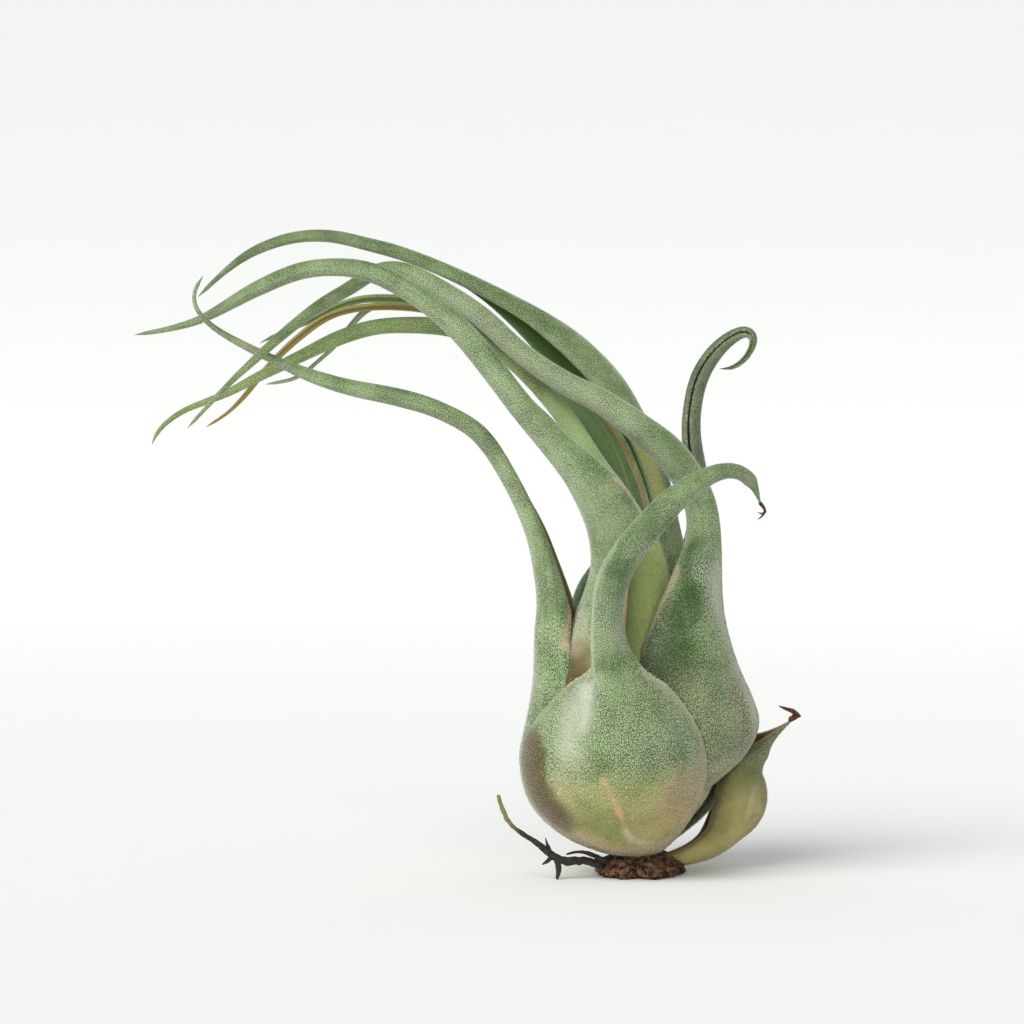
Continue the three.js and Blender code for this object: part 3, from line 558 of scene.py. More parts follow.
def all_round(count):
    """Directions spread evenly over a ball."""
    k = np.arange(count) + 0.5
    turn = math.pi * (1 + math.sqrt(5)) * k
    z = 1 - 2 * k / count
    return np.stack([np.sqrt(1 - z * z) * np.cos(turn), np.sqrt(1 - z * z) * np.sin(turn), z], 1)


def surface(ob):
    """The corners of a mesh's triangles, and its points in millimetres."""
    mesh = ob.data
    mesh.calc_loop_triangles()
    return array_of(mesh.loop_triangles, "vertices", 3, np.int32), array_of(mesh.vertices, "co", 3) / MM


def joined_tree(obs):
    corners, places, start = [], [], 0
    for ob in obs:
        corner, co = surface(ob)
        places.append(co)
        corners.append(corner + start)
        start += len(co)
    return BVHTree.FromPolygons(np.concatenate(places).tolist(), np.concatenate(corners).tolist())


def measure_openness(ob, tree):
    """Writes the open share of each point's view to its site."""
    mesh = ob.data
    normals = array_of(mesh.vertex_normals, "vector", 3)
    start = array_of(mesh.vertices, "co", 3) / MM + normals * LIFT
    ways = all_round(COMPASS)
    facing = normals @ ways.T
    ways = [Vector(way) for way in ways]
    site = layer_of(mesh, "site")
    for i, (at, normal, dots) in enumerate(zip(start.tolist(), normals.tolist(), facing)):
        at = Vector(at)
        if tree.ray_cast(at, Vector(normal), NEAR)[0] is not None:
            site[i, 0] = 0
            continue
        tried = np.flatnonzero(dots > SIDEWAYS)
        open_ways = [j for j in tried if tree.ray_cast(at, ways[j], SIGHT)[0] is None]
        site[i, 0] = dots[open_ways].sum() / max(dots[dots > SIDEWAYS].sum(), SIDEWAYS)
    set_layer(mesh, "site", site)


leaf_tree = joined_tree(leaves.values())
for ob in leaves.values():
    measure_openness(ob, leaf_tree)

# ---- rootstock, roots and dried tips --------------------------------------------------------------

ASLANT = [0.13, 0.2, 0.97]  # a way that no tube takes
THINNEST = 0.04


def tube(stations, sides, spacing, rough, seed, flat=1.0):
    """A knobbly closed tube along its stations, [x, y, z, radius]: points and faces."""
    s, _ = even_places(stations, spacing)
    rows = soften(spline(stations, s), 1.5)
    path = unit(np.gradient(rows[:, :3], axis=0))
    side = unit(np.cross(path, ASLANT))
    top = np.cross(side, path) * flat
    angle = np.linspace(0, 2 * math.pi, sides, endpoint=False)
    spread = side[:, None, :] * np.cos(angle)[None, :, None] + top[:, None, :] * np.sin(angle)[None, :, None]
    radius = np.maximum(rows[:, 3], THINNEST)[:, None, None]
    places = (rows[:, None, :3] + spread * radius).reshape(-1, 3)
    knob = 0.6 * noise(places * 1.1, seed) + 0.4 * noise(places * 3.1, seed + 1)
    points = rows[:, None, :3] + spread * radius * (1 + rough * knob.reshape(len(rows), sides, 1))
    ends = [rows[0, :3] - path[0] * rows[0, 3] * flat, rows[-1, :3] + path[-1] * radius[-1, 0] * flat]
    return np.concatenate([points.reshape(-1, 3), ends]), skin_faces(len(rows), sides)


def as_object(name, parts):
    points, faces, start = [], [], 0
    for p, f in parts:
        points.append(p)
        faces.extend([[i + start for i in face] for face in f])
        start += len(p)
    points = np.concatenate(points)
    points[:, 2] = np.maximum(points[:, 2], 0)
    return new_object(name, points, faces)


ROOT_LONG = [
    [-7.5, -5, 2.6, 0.8], [-10.9, -6, 3.6, 0.8], [-14.7, -7, 3.6, 0.8], [-17.5, -7.5, 5, 0.75],
    [-20.3, -8, 7.3, 0.55], [-23.4, -8, 9.3, 0.45], [-25.6, -7.5, 11.1, 0.45], [-27, -7, 13.6, 0.45],
    [-27.9, -6.4, 16.4, 0.35],
]
ROOT_LONG_SPURS = [
    [[-16.2, -7.2, 3.8, 0.7], [-16, -7.4, 1.8, 0.55], [-16.3, -7.6, 0.2, 0.3]],
    [[-17, -7.4, 4.8, 0.6], [-18.2, -7.8, 3.7, 0.4], [-19.2, -8.3, 3.1, 0.15]],
    [[-17.6, -7.5, 5.2, 0.55], [-18.2, -7.7, 6.8, 0.35], [-18.6, -8, 8.3, 0.08]],
]
ROOT_SHORT = [[-6.5, -6.2, 3.3, 0.6], [-9.5, -7.6, 5, 0.45], [-12, -8.4, 5.6, 0.35], [-14.4, -9, 5.2, 0.2]]
FRONT_HOOK = [[22.9, -18.1, 74.4, 0.5], [23.6, -17.9, 73.5, 0.42], [23.9, -17.9, 72.7, 0.32],
              [23.3, -18, 71.8, 0.26], [22.4, -18.1, 71.1, 0.06]]
FRONT_PRONG = [[23.7, -17.9, 72.4, 0.25], [23, -18.2, 72.3, 0.15], [22.4, -18.4, 72.6, 0.05]]
SHORT_TIP = [[31.3, 8.8, 30.5, 1.1], [32.5, 8.5, 31.3, 1.15], [31.9, 8.6, 32.1, 0.95], [30.6, 8.7, 32.6, 0.7],
             [29.5, 8.8, 33, 0.45], [28.9, 8.9, 33.3, 0.1]]

root_long = as_object("plant_root_long", [
    tube(line, 12, 0.25, 0.35, 11 + i) for i, line in enumerate([ROOT_LONG] + ROOT_LONG_SPURS)])
root_short = as_object("plant_root_short", [tube(ROOT_SHORT, 10, 0.25, 0.3, 21)])
dried_tips = as_object("plant_dried_tips", [
    tube(FRONT_HOOK, 10, 0.12, 0.25, 61, 0.7), tube(FRONT_PRONG, 8, 0.12, 0.2, 62),
    tube(SHORT_TIP, 12, 0.15, 0.25, 63, 0.5)])

STUB_PROFILE = [[0, 0], [7.4, 0], [8.3, 0.6], [8, 1.9], [6.9, 3.3], [5.4, 4.1], [3.2, 5.6], [2.5, 8],
                [2.3, 10.5], [0, 12]]
STUB_SIDES, STUB_RINGS = 120, 60
HUSKS = 64
GOLDEN_TURN = 0.618  # of a turn from each husk to the next


def stub():
    """The crumbling stub, as a turned solid roughened by noise, with its short stem."""
    profile = np.array(STUB_PROFILE)
    steps = np.linspace(0, len(profile) - 1, STUB_RINGS)
    line = np.stack([np.interp(steps, np.arange(len(profile)), c) for c in profile.T], 1)[1:-1]
    angle = np.linspace(0, 2 * math.pi, STUB_SIDES, endpoint=False)
    ring = np.stack([np.cos(angle), np.sin(angle)], 1)
    points = np.concatenate([line[:, None, 0:1] * ring, np.repeat(line[:, None, 1:2], STUB_SIDES, 1)], 2)
    flat = points.reshape(-1, 3)
    turn = np.tile(angle, len(line))
    ragged = (0.08 * np.sin(5 * turn + 0.7) + 0.06 * np.sin(9 * turn)) * np.linalg.norm(flat[:, :2], axis=1)
    rough = 0.7 * noise(flat * 0.6, 31) + 0.45 * noise(flat * 1.7, 32) + 0.2 * noise(flat * 4.1, 33)
    flat = flat + unit(flat * [1, 1, 0]) * (ragged + rough)[:, None]
    return np.concatenate([flat, [[0, 0, 0], [0, 0, 12]]]), skin_faces(len(line), STUB_SIDES)


def husks(rng):
    """Broken remains of old sheaths and fibres, which stand out of the stub all round."""
    parts = []
    for k in range(HUSKS):
        turn = 2 * math.pi * (k * GOLDEN_TURN + 0.04 * rng.random())
        outward = np.array([math.cos(turn), math.sin(turn), 0.0])
        tangent = np.array([-math.sin(turn), math.cos(turn), 0.0])
        fibre = k % 3 == 0
        width = rng.uniform(0.12, 0.22) if fibre else rng.uniform(0.5, 1.1)
        reach = rng.uniform(1.6, 3.4) if fibre else rng.uniform(1.0, 2.4)
        start = outward * rng.uniform(5.6, 7.2) + UP * rng.uniform(0.7, 3.0)
        drift = tangent * rng.uniform(-1.2, 1.2) + UP * rng.uniform(-0.9, 0.7)
        line = [start, start + outward * reach * 0.5 + drift * 0.3, start + outward * reach + drift]
        radii = [width, width * 0.85, width * 0.2]
        stations = [[*np.maximum(p, [-99, -99, 0.25]), r] for p, r in zip(line, radii)]
        parts.append(tube(stations, 8, 0.3, 0.45, 100 + k, 1.0 if fibre else 0.3))
    return parts


rootstock = as_object("plant_rootstock", [stub()] + husks(np.random.default_rng(5)))

# ---- materials ------------------------------------------------------------------------------------

SHEEN_ROUGHNESS = 0.26
SHEEN_TINT = (0.98, 0.97, 0.91, 1.0)
EVENNESS = 0.88  # how random the places of the frost's cells are, where 1 is fully random

GREEN_DARK, GREEN_LIGHT, GREEN_BRIGHT = (0.048, 0.104, 0.016), (0.108, 0.192, 0.034), (0.135, 0.230, 0.055)
YELLOW_GREEN, DARK_GREEN, OLIVE = (0.34, 0.40, 0.09), (0.035, 0.085, 0.020), (0.41, 0.36, 0.12)
# the crease colour is painted shade: a dark brown laid into creases that the ray-cast openness finds closed
PAINTED_CREASE_SHADE, CHANNEL, MIDLINE = (0.085, 0.070, 0.026), (0.085, 0.175, 0.045), (0.36, 0.44, 0.13)
WHITE_FROST, TAN_FROST = (0.62, 0.66, 0.51), (0.66, 0.54, 0.33)
PALE_RIM, PINK_RIM, BROWN_RIM = (0.56, 0.56, 0.42), (0.46, 0.31, 0.19), (0.24, 0.17, 0.06)
SCAR, PAPERY, BROWN = (0.68, 0.37, 0.17), (0.46, 0.33, 0.25), (0.10, 0.066, 0.03)
# the mauve is painted shade, on the shaded right side of the front leaf's blade
# the silver is partly frost and partly painted highlight, where the key light falls on the sheaths' lit sides
MAUVE_SHADE, CREAM, SILVER_FROST_AND_HIGHLIGHT = (0.27, 0.26, 0.21), (0.60, 0.56, 0.44), (0.72, 0.72, 0.62)

BASE_FADE = (9.0, 27.0)  # the heights over which the base's olive and tan give way to green and white
CLOUDS = 0.17  # cells of slow noise to a millimetre
STREAKS, BREAKS = (1.3, 0.11), (2.4, 0.7)  # cells of noise to a millimetre, across and along a leaf
STROKES, DOTS = (3.7, 1.9), (3.8, 3.5)  # the same for the frost's spots, on the sheath and on the blade
BARE, FULL = (0.10, 0.16), (2.9, 3.2)  # the frost between spots and on them, on the sheath and the blade
TOPSIDE, UNDERSIDE = 0.35, 1.55  # the frost where a blade looks up, and down
RIM_SHARE, RIM_LIMITS = 0.08, (0.10, 0.45)  # width of a margin's line, of the radius and in millimetres


class Value:
    """A socket among a look's nodes that takes plain arithmetic."""

    def __init__(self, look, socket):
        self.look, self.socket = look, socket

    def __add__(self, other):
        return self.look.math("ADD", self, other)

    def __sub__(self, other):
        return self.look.math("SUBTRACT", self, other)

    def __rsub__(self, other):
        return self.look.math("SUBTRACT", other, self)

    def __mul__(self, other):
        return self.look.math("MULTIPLY", self, other)

    def __truediv__(self, other):
        return self.look.math("DIVIDE", self, other)

    __radd__, __rmul__ = __add__, __mul__

    def within(self, low, high):
        return self.look.math("MINIMUM", self.look.math("MAXIMUM", self, low), high)

    def ease(self, low, high, start=0.0, end=1.0):
        """Runs smoothly from start to end while the value runs from low to high."""
        inputs = {0: self, 1: low, 2: high, 3: start, 4: end}
        return self.look.value("MapRange", inputs, interpolation_type="SMOOTHSTEP")


class Look:
    """A material made of nodes, with short calls that return values."""

    def __init__(self, name):
        self.mat = bpy.data.materials.new(name)
        self.mat.use_nodes = True
        self.tree = self.mat.node_tree
        self.tree.nodes.clear()
        coords = self.node("TexCoord")
        self.normal = Value(self, coords.outputs["Normal"])
        inputs = {0: Value(self, coords.outputs["Object"]), 3: 1 / MM}
        self.place = self.value("VectorMath", inputs, operation="SCALE")

    def node(self, kind, inputs=None, **settings):
        made = self.tree.nodes.new("ShaderNode" + kind)
        for key, value in settings.items():
            setattr(made, key, value)
        for key, value in (inputs or {}).items():
            if isinstance(value, Value):
                self.tree.links.new(value.socket, made.inputs[key])
            else:
                made.inputs[key].default_value = value
        return made

    def value(self, kind, inputs=None, output=0, **settings):
        return Value(self, self.node(kind, inputs, **settings).outputs[output])

    def math(self, kind, a, b=0.0):
        return self.value("Math", {0: a, 1: b}, operation=kind)

    def mix(self, share, a, b):
        a, b = (c if isinstance(c, Value) else (*c, 1.0) for c in (a, b))
        return self.value("MixRGB", {0: share, 1: a, 2: b})

    def noise(self, at, scale, detail, rough):
        return self.value("TexNoise", {"Vector": at, "Scale": scale, "Detail": detail, "Roughness": rough})

    def cells(self, at, scale=1.0, flat=True):
        """The distance from the nearest cell's middle, and a random number for that cell."""
        inputs = {"Vector": at, "Scale": scale, "Randomness": EVENNESS if flat else 1.0}
        made = self.node("TexVoronoi", inputs, voronoi_dimensions="2D" if flat else "3D")
        gap, tint = (Value(self, made.outputs[key]) for key in ("Distance", "Color"))
        return gap, self.value("SeparateColor", {0: tint})

    def split(self, vector):
        return [Value(self, socket) for socket in self.node("SeparateXYZ", {0: vector}).outputs]

    def parts(self, attribute):
        return self.split(self.value("Attribute", None, "Vector", attribute_name=attribute))

    def grid(self, x, y, cells):
        """The place (x, y) counted in cells, of which so many go to a millimetre each way."""
        return self.value("CombineXYZ", {0: x * cells[0], 1: y * cells[1]})

    def gap(self, a, b):
        """The distance from the line between a and b, or from the point where they are one."""
        apart = self.value("VectorMath", {0: self.place, 1: a}, operation="SUBTRACT")
        if a != b:
            way = b - a
            inputs = {0: apart, 1: way / way.length_squared}
            share = self.value("VectorMath", inputs, "Value", operation="DOT_PRODUCT").within(0.0, 1.0)
            foot = self.value("VectorMath", {0: way, 3: share}, operation="SCALE")
            apart = self.value("VectorMath", {0: apart, 1: foot}, operation="SUBTRACT")
        return self.value("VectorMath", {0: apart}, "Value", operation="LENGTH")

    def line(self, points, reach, soft):
        """1 within reach of a point or of the line through several, falling to 0 over soft."""
        nearest, *others = (self.gap(Vector(a), Vector(b)) for a, b in zip(points, points[1:] or points))
        for gap in others:
            nearest = self.math("MINIMUM", nearest, gap)
        return nearest.ease(reach, reach + soft, 1.0, 0.0)

    def finish(self, colour, roughness, bump=None, depth=0.0, sheen=0.0, specular=0.3):
        """The material. bump: the relief, which stands depth millimetres high at 1."""
        shader = self.node("BsdfPrincipled", {
            "Base Color": colour, "Roughness": roughness, "Specular IOR Level": specular,
            "Sheen Weight": sheen, "Sheen Roughness": SHEEN_ROUGHNESS, "Sheen Tint": SHEEN_TINT})
        if bump is not None:
            relief = self.node("Bump", {"Height": bump, "Strength": 1.0, "Distance": depth * MM})
            self.tree.links.new(relief.outputs[0], shader.inputs["Normal"])
        self.tree.links.new(shader.outputs[0], self.node("OutputMaterial").inputs[0])
        return self.mat


# The margins of the sheaths that show, each as a line along its leaf.
FRONT_LEFT = [[-9.9, -16.8, 42], [-11.5, -15.4, 40.7], [-12.9, -14, 39.6], [-14.3, -13.2, 38.3],
              [-15.4, -12.2, 37]]
FRONT_RIGHT = [[-0.3, -17, 43], [0.1, -16.7, 42], [1.7, -15.7, 41], [4.9, -13.7, 39], [6.8, -11.8, 36.8],
               [8.7, -9.9, 34.5], [10.7, -8.2, 31.4], [12.7, -6.5, 28.3], [13.3, -5.8, 24.7]]
RIGHT_LEFT = [[7, -8.2, 60.7], [6, -8, 58.6], [5.1, -7.4, 56.4], [3.9, -6.6, 54], [3, -6.2, 51.8],
              [2, -5.5, 49.6], [1.2, -5, 47.4], [0.6, -5, 45.2]]
LEFT_RIGHT = [[-12.8, -4, 53.9], [-13.1, -6.7, 52.2], [-13.5, -7, 50.3], [-13.9, -7.7, 48.3],
              [-14.4, -8.2, 46.4]]
INNER_RIGHT = [[3.8, -0.5, 69], [4.6, 0, 66.5], [5.6, 0.2, 63.5], [6.2, 0.6, 61]]
MIDDLE_RIGHT = [[-5.3, -15.1, 78.8], [-3.7, -14.2, 77.5], [-2.1, -13.3, 75.7], [-0.6, -12.5, 74.3],
                [0.4, -12, 73.2]]

# Places that bear a mark as well as more frost or less of it.
# the brown low on the left of the bulb is partly the leaf's own brown and partly a painted shadow
FRONT_BROWN_AND_SHADOW = [[-21.5, -10.5, 25], [-20.8, -11, 19], [-17.5, -11.5, 13]]
FRONT_PATCH = [[-5.7, -14.8, 10.2], [-8, -16.5, 13]]
# RIGHT_SHADE marks painted shade: dark green on leaf_right's sheath beside its left margin and down its neck
RIGHT_SHADE = [[11.7, -11, 64], [10.5, -11.4, 56], [7, -9.8, 48], [6, -9.5, 42]]
BACK_LEFT_NECK = [[-12.5, 6, 55], [-10.5, 8, 61]]

# Marks on a leaf, some of them painted shade, painted highlight or painted light as noted: the points of a
# line or one point, its reach and how softly it ends in millimetres, its colour, its strength, and how broken
# it is.
MARKS = {
    "leaf_front": [
        (FRONT_RIGHT[2:7], 2.0, 2.6, YELLOW_GREEN, 0.6, 0.4),
        (FRONT_LEFT, 0.7, 1.2, YELLOW_GREEN, 0.6, 0.2),
        # partly frost, partly painted highlight: the silver band and crease line on the lit left of the front
        # sheath
        ([[-10.8, -19, 38.6], [-12.8, -19.3, 33], [-14, -18.8, 27]], 0.2, 5.0, SILVER_FROST_AND_HIGHLIGHT, 0.4, 0.3),
        ([[-10.3, -19, 39.4], [-10.6, -20.1, 35], [-11.3, -20.3, 31]], 0.2, 1.8, SILVER_FROST_AND_HIGHLIGHT, 0.5, 0.2),
        # painted shade: dark green on the shaded side just right of the crease
        ([[-8.6, -20.3, 38.4], [-7.8, -21.2, 36], [-6.6, -21.6, 32.5]], 0.5, 1.6, DARK_GREEN, 0.6, 0.1),
        # painted shade: a grey-mauve band down the shaded right side of the blade
        ([[-4.3, -24.2, 58.5], [-4.6, -22.8, 53.7], [-4.6, -21.7, 49.9], [-3.8, -20.5, 45.9]],
         0.3, 1.0, MAUVE_SHADE, 0.4, 0.3),
        ([[-6.6, -23.2, 52], [-5.2, -25.2, 61], [-1.5, -27, 67], [5, -27.8, 73]],
         1.2, 2.4, DARK_GREEN, 0.7, 0.2),
        # partly brown, partly painted shadow: the lower left of the bulb darkened
        (FRONT_BROWN_AND_SHADOW, 2.6, 5.0, BROWN, 0.95, 0.1),
        ([[8, -14, 17.3], [11, -10, 14], [13, -7, 21]], 3.0, 6.0, (0.36, 0.23, 0.12), 0.8, 0.4),
        (FRONT_PATCH, 0.8, 4.0, (0.12, 0.21, 0.05), 0.65, 0.35),
        ([[-7.4, -20.5, 21], [-5.9, -19.7, 17.9], [-4.3, -18.5, 14.4]], 0.3, 0.9, SCAR, 0.85, 0.6),
        ([[-4.9, -18.9, 15.8], [-4.3, -18.5, 14.4], [-3, -15.3, 10.6], [-2.1, -13.5, 8.9]],
         0.22, 0.6, SCAR, 0.95, 0.35),
        ([[-3, -15.3, 10.6], [-1.4, -12.6, 8.2], [2, -11, 7.2]], 0.4, 1.2, CREAM, 0.6, 0.7),
        ([[-15.5, -16.6, 18.9], [-15.9, -16.2, 17.9]], 0.25, 0.6, SCAR, 0.8, 0.6),
        ([[-12, -11.5, 8.2], [-7.8, -8.2, 6.3], [0, -9, 6], [6, -7.5, 6.8]], 0.9, 2.0, PAPERY, 0.75, 0.3),
        ([[1.9, -19.7, 23.7], [3.4, -19.3, 24.6], [5, -18.5, 25.1]],
         0.12, 0.35, (0.04, 0.13, 0.03), 0.8, 0.4),
        ([[12.9, -7.2, 23.2]], 0.35, 1.1, (0.60, 0.36, 0.26), 0.75, 0.3),
    ],
    "leaf_short": [
        ([[24.5, 9, 25], [29, 8.7, 29]], 0.2, 1.4, (0.17, 0.14, 0.05), 0.5, 0.5),
        # painted shade: grey-brown down the shaded right side of the sheath
        ([[27.5, 11, 17], [26.5, 10, 12], [24, 9, 8]], 1.2, 3.0, (0.19, 0.15, 0.10), 0.75, 0.4),
    ],
    "leaf_right": [
        # partly frost, partly painted highlight: a broad pale band down the lit right limb of the sheath
        ([[14.6, -9.5, 60], [16.5, -7.5, 54], [19.5, -3.2, 46], [22.4, 1, 39], [24.3, 2.5, 31]],
         1.2, 3.2, SILVER_FROST_AND_HIGHLIGHT, 0.55, 0.4),
        (RIGHT_LEFT, 1.3, 0.7, (0.55, 0.43, 0.25), 0.85, 0.35),
        # painted shade: dark green in the shaded part of the sheath and neck
        (RIGHT_SHADE, 1.6, 3.8, DARK_GREEN, 0.8, 0.1),
        ([[20, -4.5, 37], [21.5, -2, 31], [21, -2, 26]], 1.2, 4.2, (0.15, 0.105, 0.05), 0.75, 0.95),
        ([[9, -10, 38], [13, -9, 31], [16, -7, 25]], 1.5, 5.0, (0.13, 0.12, 0.045), 0.6, 0.5),
        ([[18.1, -3.7, 21.5], [14, -6, 18]], 0.8, 3.0, PAPERY, 0.6, 0.4),
    ],
    "leaf_left": [
        (LEFT_RIGHT, 0.5, 1.6, (0.55, 0.37, 0.20), 0.8, 0.3),
        ([[-12.6, 0, 60], [-12.4, -1, 55]], 0.8, 2.0, (0.22, 0.21, 0.04), 0.8, 0.1),
        ([[-75, -11.2, 104], [-78, -11.8, 105.6]], 0.6, 1.6, (0.27, 0.20, 0.14), 0.8, 0.4),
    ],
    "leaf_back_left": [(BACK_LEFT_NECK, 3.0, 2.0, DARK_GREEN, 0.95, 0.0)],
    "leaf_middle": [
        # painted shade: dark brown on the middle leaf where the front leaf's blade shades it
        ([[-12.8, -10.3, 43.5], [-12.6, -11, 39]], 2.0, 4.5, (0.09, 0.07, 0.028), 0.95, 0.1),
        ([[-12.6, -8, 52], [-11.5, -9, 46]], 1.2, 2.5, CREAM, 0.45, 0.2),
        ([[-11, -10, 48], [-10, -11.5, 43]], 0.8, 3.0, (0.27, 0.21, 0.09), 0.6, 0.4),
        (MIDDLE_RIGHT, 0.25, 0.6, (0.46, 0.33, 0.22), 0.8, 0.3),
    ],
    "leaf_inner_low": [
        # partly the leaf's own olive, partly painted light: the front lifted brighter where the leaves around
        # it shade it
        ([[0.2, -4.6, 61], [1, -5, 46]], 6.0, 5.0, (0.50, 0.62, 0.17), 0.9, 0.35),
        (INNER_RIGHT, 0.7, 0.8, (0.36, 0.22, 0.07), 0.85, 0.3),
        # painted light: a brighter strip on the blade where it lies in shade
        ([[-1, -3, 72], [-8, -3.5, 83], [-15, -2, 93]], 4.0, 3.0, (0.27, 0.40, 0.15), 0.8, 0.1),
        ([[-36, 2, 110.5], [-31, 2.5, 109], [-27, 2.5, 106.5]], 0.5, 1.6, (0.36, 0.27, 0.18), 0.8, 0.3),
    ],
    "leaf_top": [([[0.8, 6, 87.2], [3.8, 5, 81.1], [5.3, 5, 75]], 1.2, 1.8, (0.38, 0.38, 0.07), 0.85, 0.1)],
    "leaf_inner_mid": [([[-2, 2, 72], [-8, 3, 88]], 1.0, 3.5, (0.10, 0.21, 0.09), 0.6, 0.0)],
}

# Where the frost is thicker, or thinner, some entries standing for painted highlight or painted shade as
# noted: the points, the reach, the softness, and how much.
FROST_AND_PAINTED_LIGHT = {
    "leaf_front": [
        # partly frost, partly painted highlight: the silver band and crease line on the lit left of the front
        # sheath
        ([[-11, -19.2, 38], [-13, -19, 33], [-14.2, -18.5, 27], [-14.5, -18, 22]], 1.0, 5.5, 0.45),
        ([[-10.6, -19, 38.6], [-9.6, -20.6, 35.6]], 0.3, 0.7, 0.5),
        # partly frost, partly painted highlight: the bright rim along the left edge of the front blade
        ([[-9.8, -17.8, 43], [-9.95, -18.5, 46.5], [-9.8, -20, 51.7], [-9, -22, 59.1], [-6, -24.4, 66]],
         0.9, 1.2, 0.7),
        ([[-4, -22, 30], [2, -20, 27]], 1.0, 6.0, 0.2),
        ([[-5.5, -24.5, 58], [-1.5, -27, 67], [5, -27.8, 73]], 1.5, 3.0, -0.2),
        (FRONT_PATCH, 1.0, 3.5, -0.2),
        # less frost in the partly painted shadow low on the bulb's left
        (FRONT_BROWN_AND_SHADOW, 2.6, 5.0, -0.7),
    ],
    "leaf_short": [(SHORT_RIDGE, 0.2, 0.9, 0.6)],
    "leaf_right": [
        # partly frost, partly painted highlight: the lit right limb of the sheath
        ([[14.6, -9.5, 62], [16, -8, 55.3], [19, -3.7, 47.3], [22, 1, 40.6], [24.3, 3.4, 32]],
         2.2, 4.0, 0.75),
        ([[-3, -7, 92], [-15, -6, 99], [-31, -4, 112], [-42, -2, 120]], 2.5, 3.0, 0.4),
        # less frost in the same painted shade
        (RIGHT_SHADE, 1.6, 4, -0.28),
    ],
    "leaf_left": [
        # partly frost, partly painted highlight: the bright left limb of the blade
        ([[-20, -3, 50], [-20.5, -5, 56], [-21.6, -6, 64], [-25, -8, 76]], 0.6, 1.8, 0.35),
        ([[-15, -8, 47], [-17, -8, 50]], 1.0, 2.5, 0.35),
    ],
    "leaf_back_left": [(BACK_LEFT_NECK, 3.0, 2.0, -0.5)],
    "leaf_middle": [
        # partly frost, partly painted highlight: the pale left limb of the leaf
        ([[-11.5, -6, 54], [-10.4, -8, 60], [-12, -12, 72]], 0.8, 2.2, 0.45),
        # less frost in that painted shade
        ([[-12.8, -10.3, 43.5], [-12.4, -11, 39]], 1.5, 4.5, -0.8),
    ],
    # more frost on the same front, part of that painted light
    "leaf_inner_low": [([[0.2, -4.6, 60], [1, -5, 46]], 5.0, 6.0, 0.15)],
}

# What sets each leaf's look apart; see leaf_look.
INNER = dict(dark=(0.10, 0.18, 0.05), light=(0.18, 0.30, 0.08), midline=True, shade=0.15)
LOOKS = {
    "leaf_front": dict(frost=0.42, margin=0.0),
    "leaf_short": dict(dark=(0.035, 0.058, 0.013), light=(0.080, 0.108, 0.027), channel=(0.36, 0.25, 0.05),
                       frost=0.20, sheen=0.5),
    "leaf_right": dict(frost=0.43, margin=0.35),
    "leaf_left": dict(light=GREEN_BRIGHT, channel=(0.34, 0.33, 0.07), shade=0.3, frost=0.44, rim=BROWN_RIM,
                      margin=0.7),
    "leaf_back_right": dict(dark=(0.030, 0.055, 0.017), light=(0.06, 0.095, 0.032),
                            channel=(0.10, 0.15, 0.05), frost=0.22, rim=(0.09, 0.14, 0.055), margin=0.2,
                            shade=0.4),
    "leaf_back_left": dict(rim=PALE_RIM),
    "leaf_middle": dict(light=GREEN_BRIGHT, frost=0.48, margin=0.3),
    "leaf_inner_low": dict(dark=(0.08, 0.15, 0.03), light=(0.16, 0.25, 0.055), channel=(0.34, 0.43, 0.10),
                           frost=0.36, rim=BROWN_RIM, shade=0.1, frosting=(0.66, 0.72, 0.42)),
    "leaf_top": dict(frost=0.38, rim=(0.24, 0.28, 0.14), channel=(0.15, 0.29, 0.075), margin=0.6, shade=0.2),
    "leaf_inner_mid": dict(channel=(0.13, 0.245, 0.075), rim=(0.38, 0.20, 0.05), margin=1.0, inside=0.8,
                           **INNER),
    "leaf_inner_high": dict(channel=(0.18, 0.32, 0.08), frost=0.24, rim=BROWN_RIM, **INNER),
}


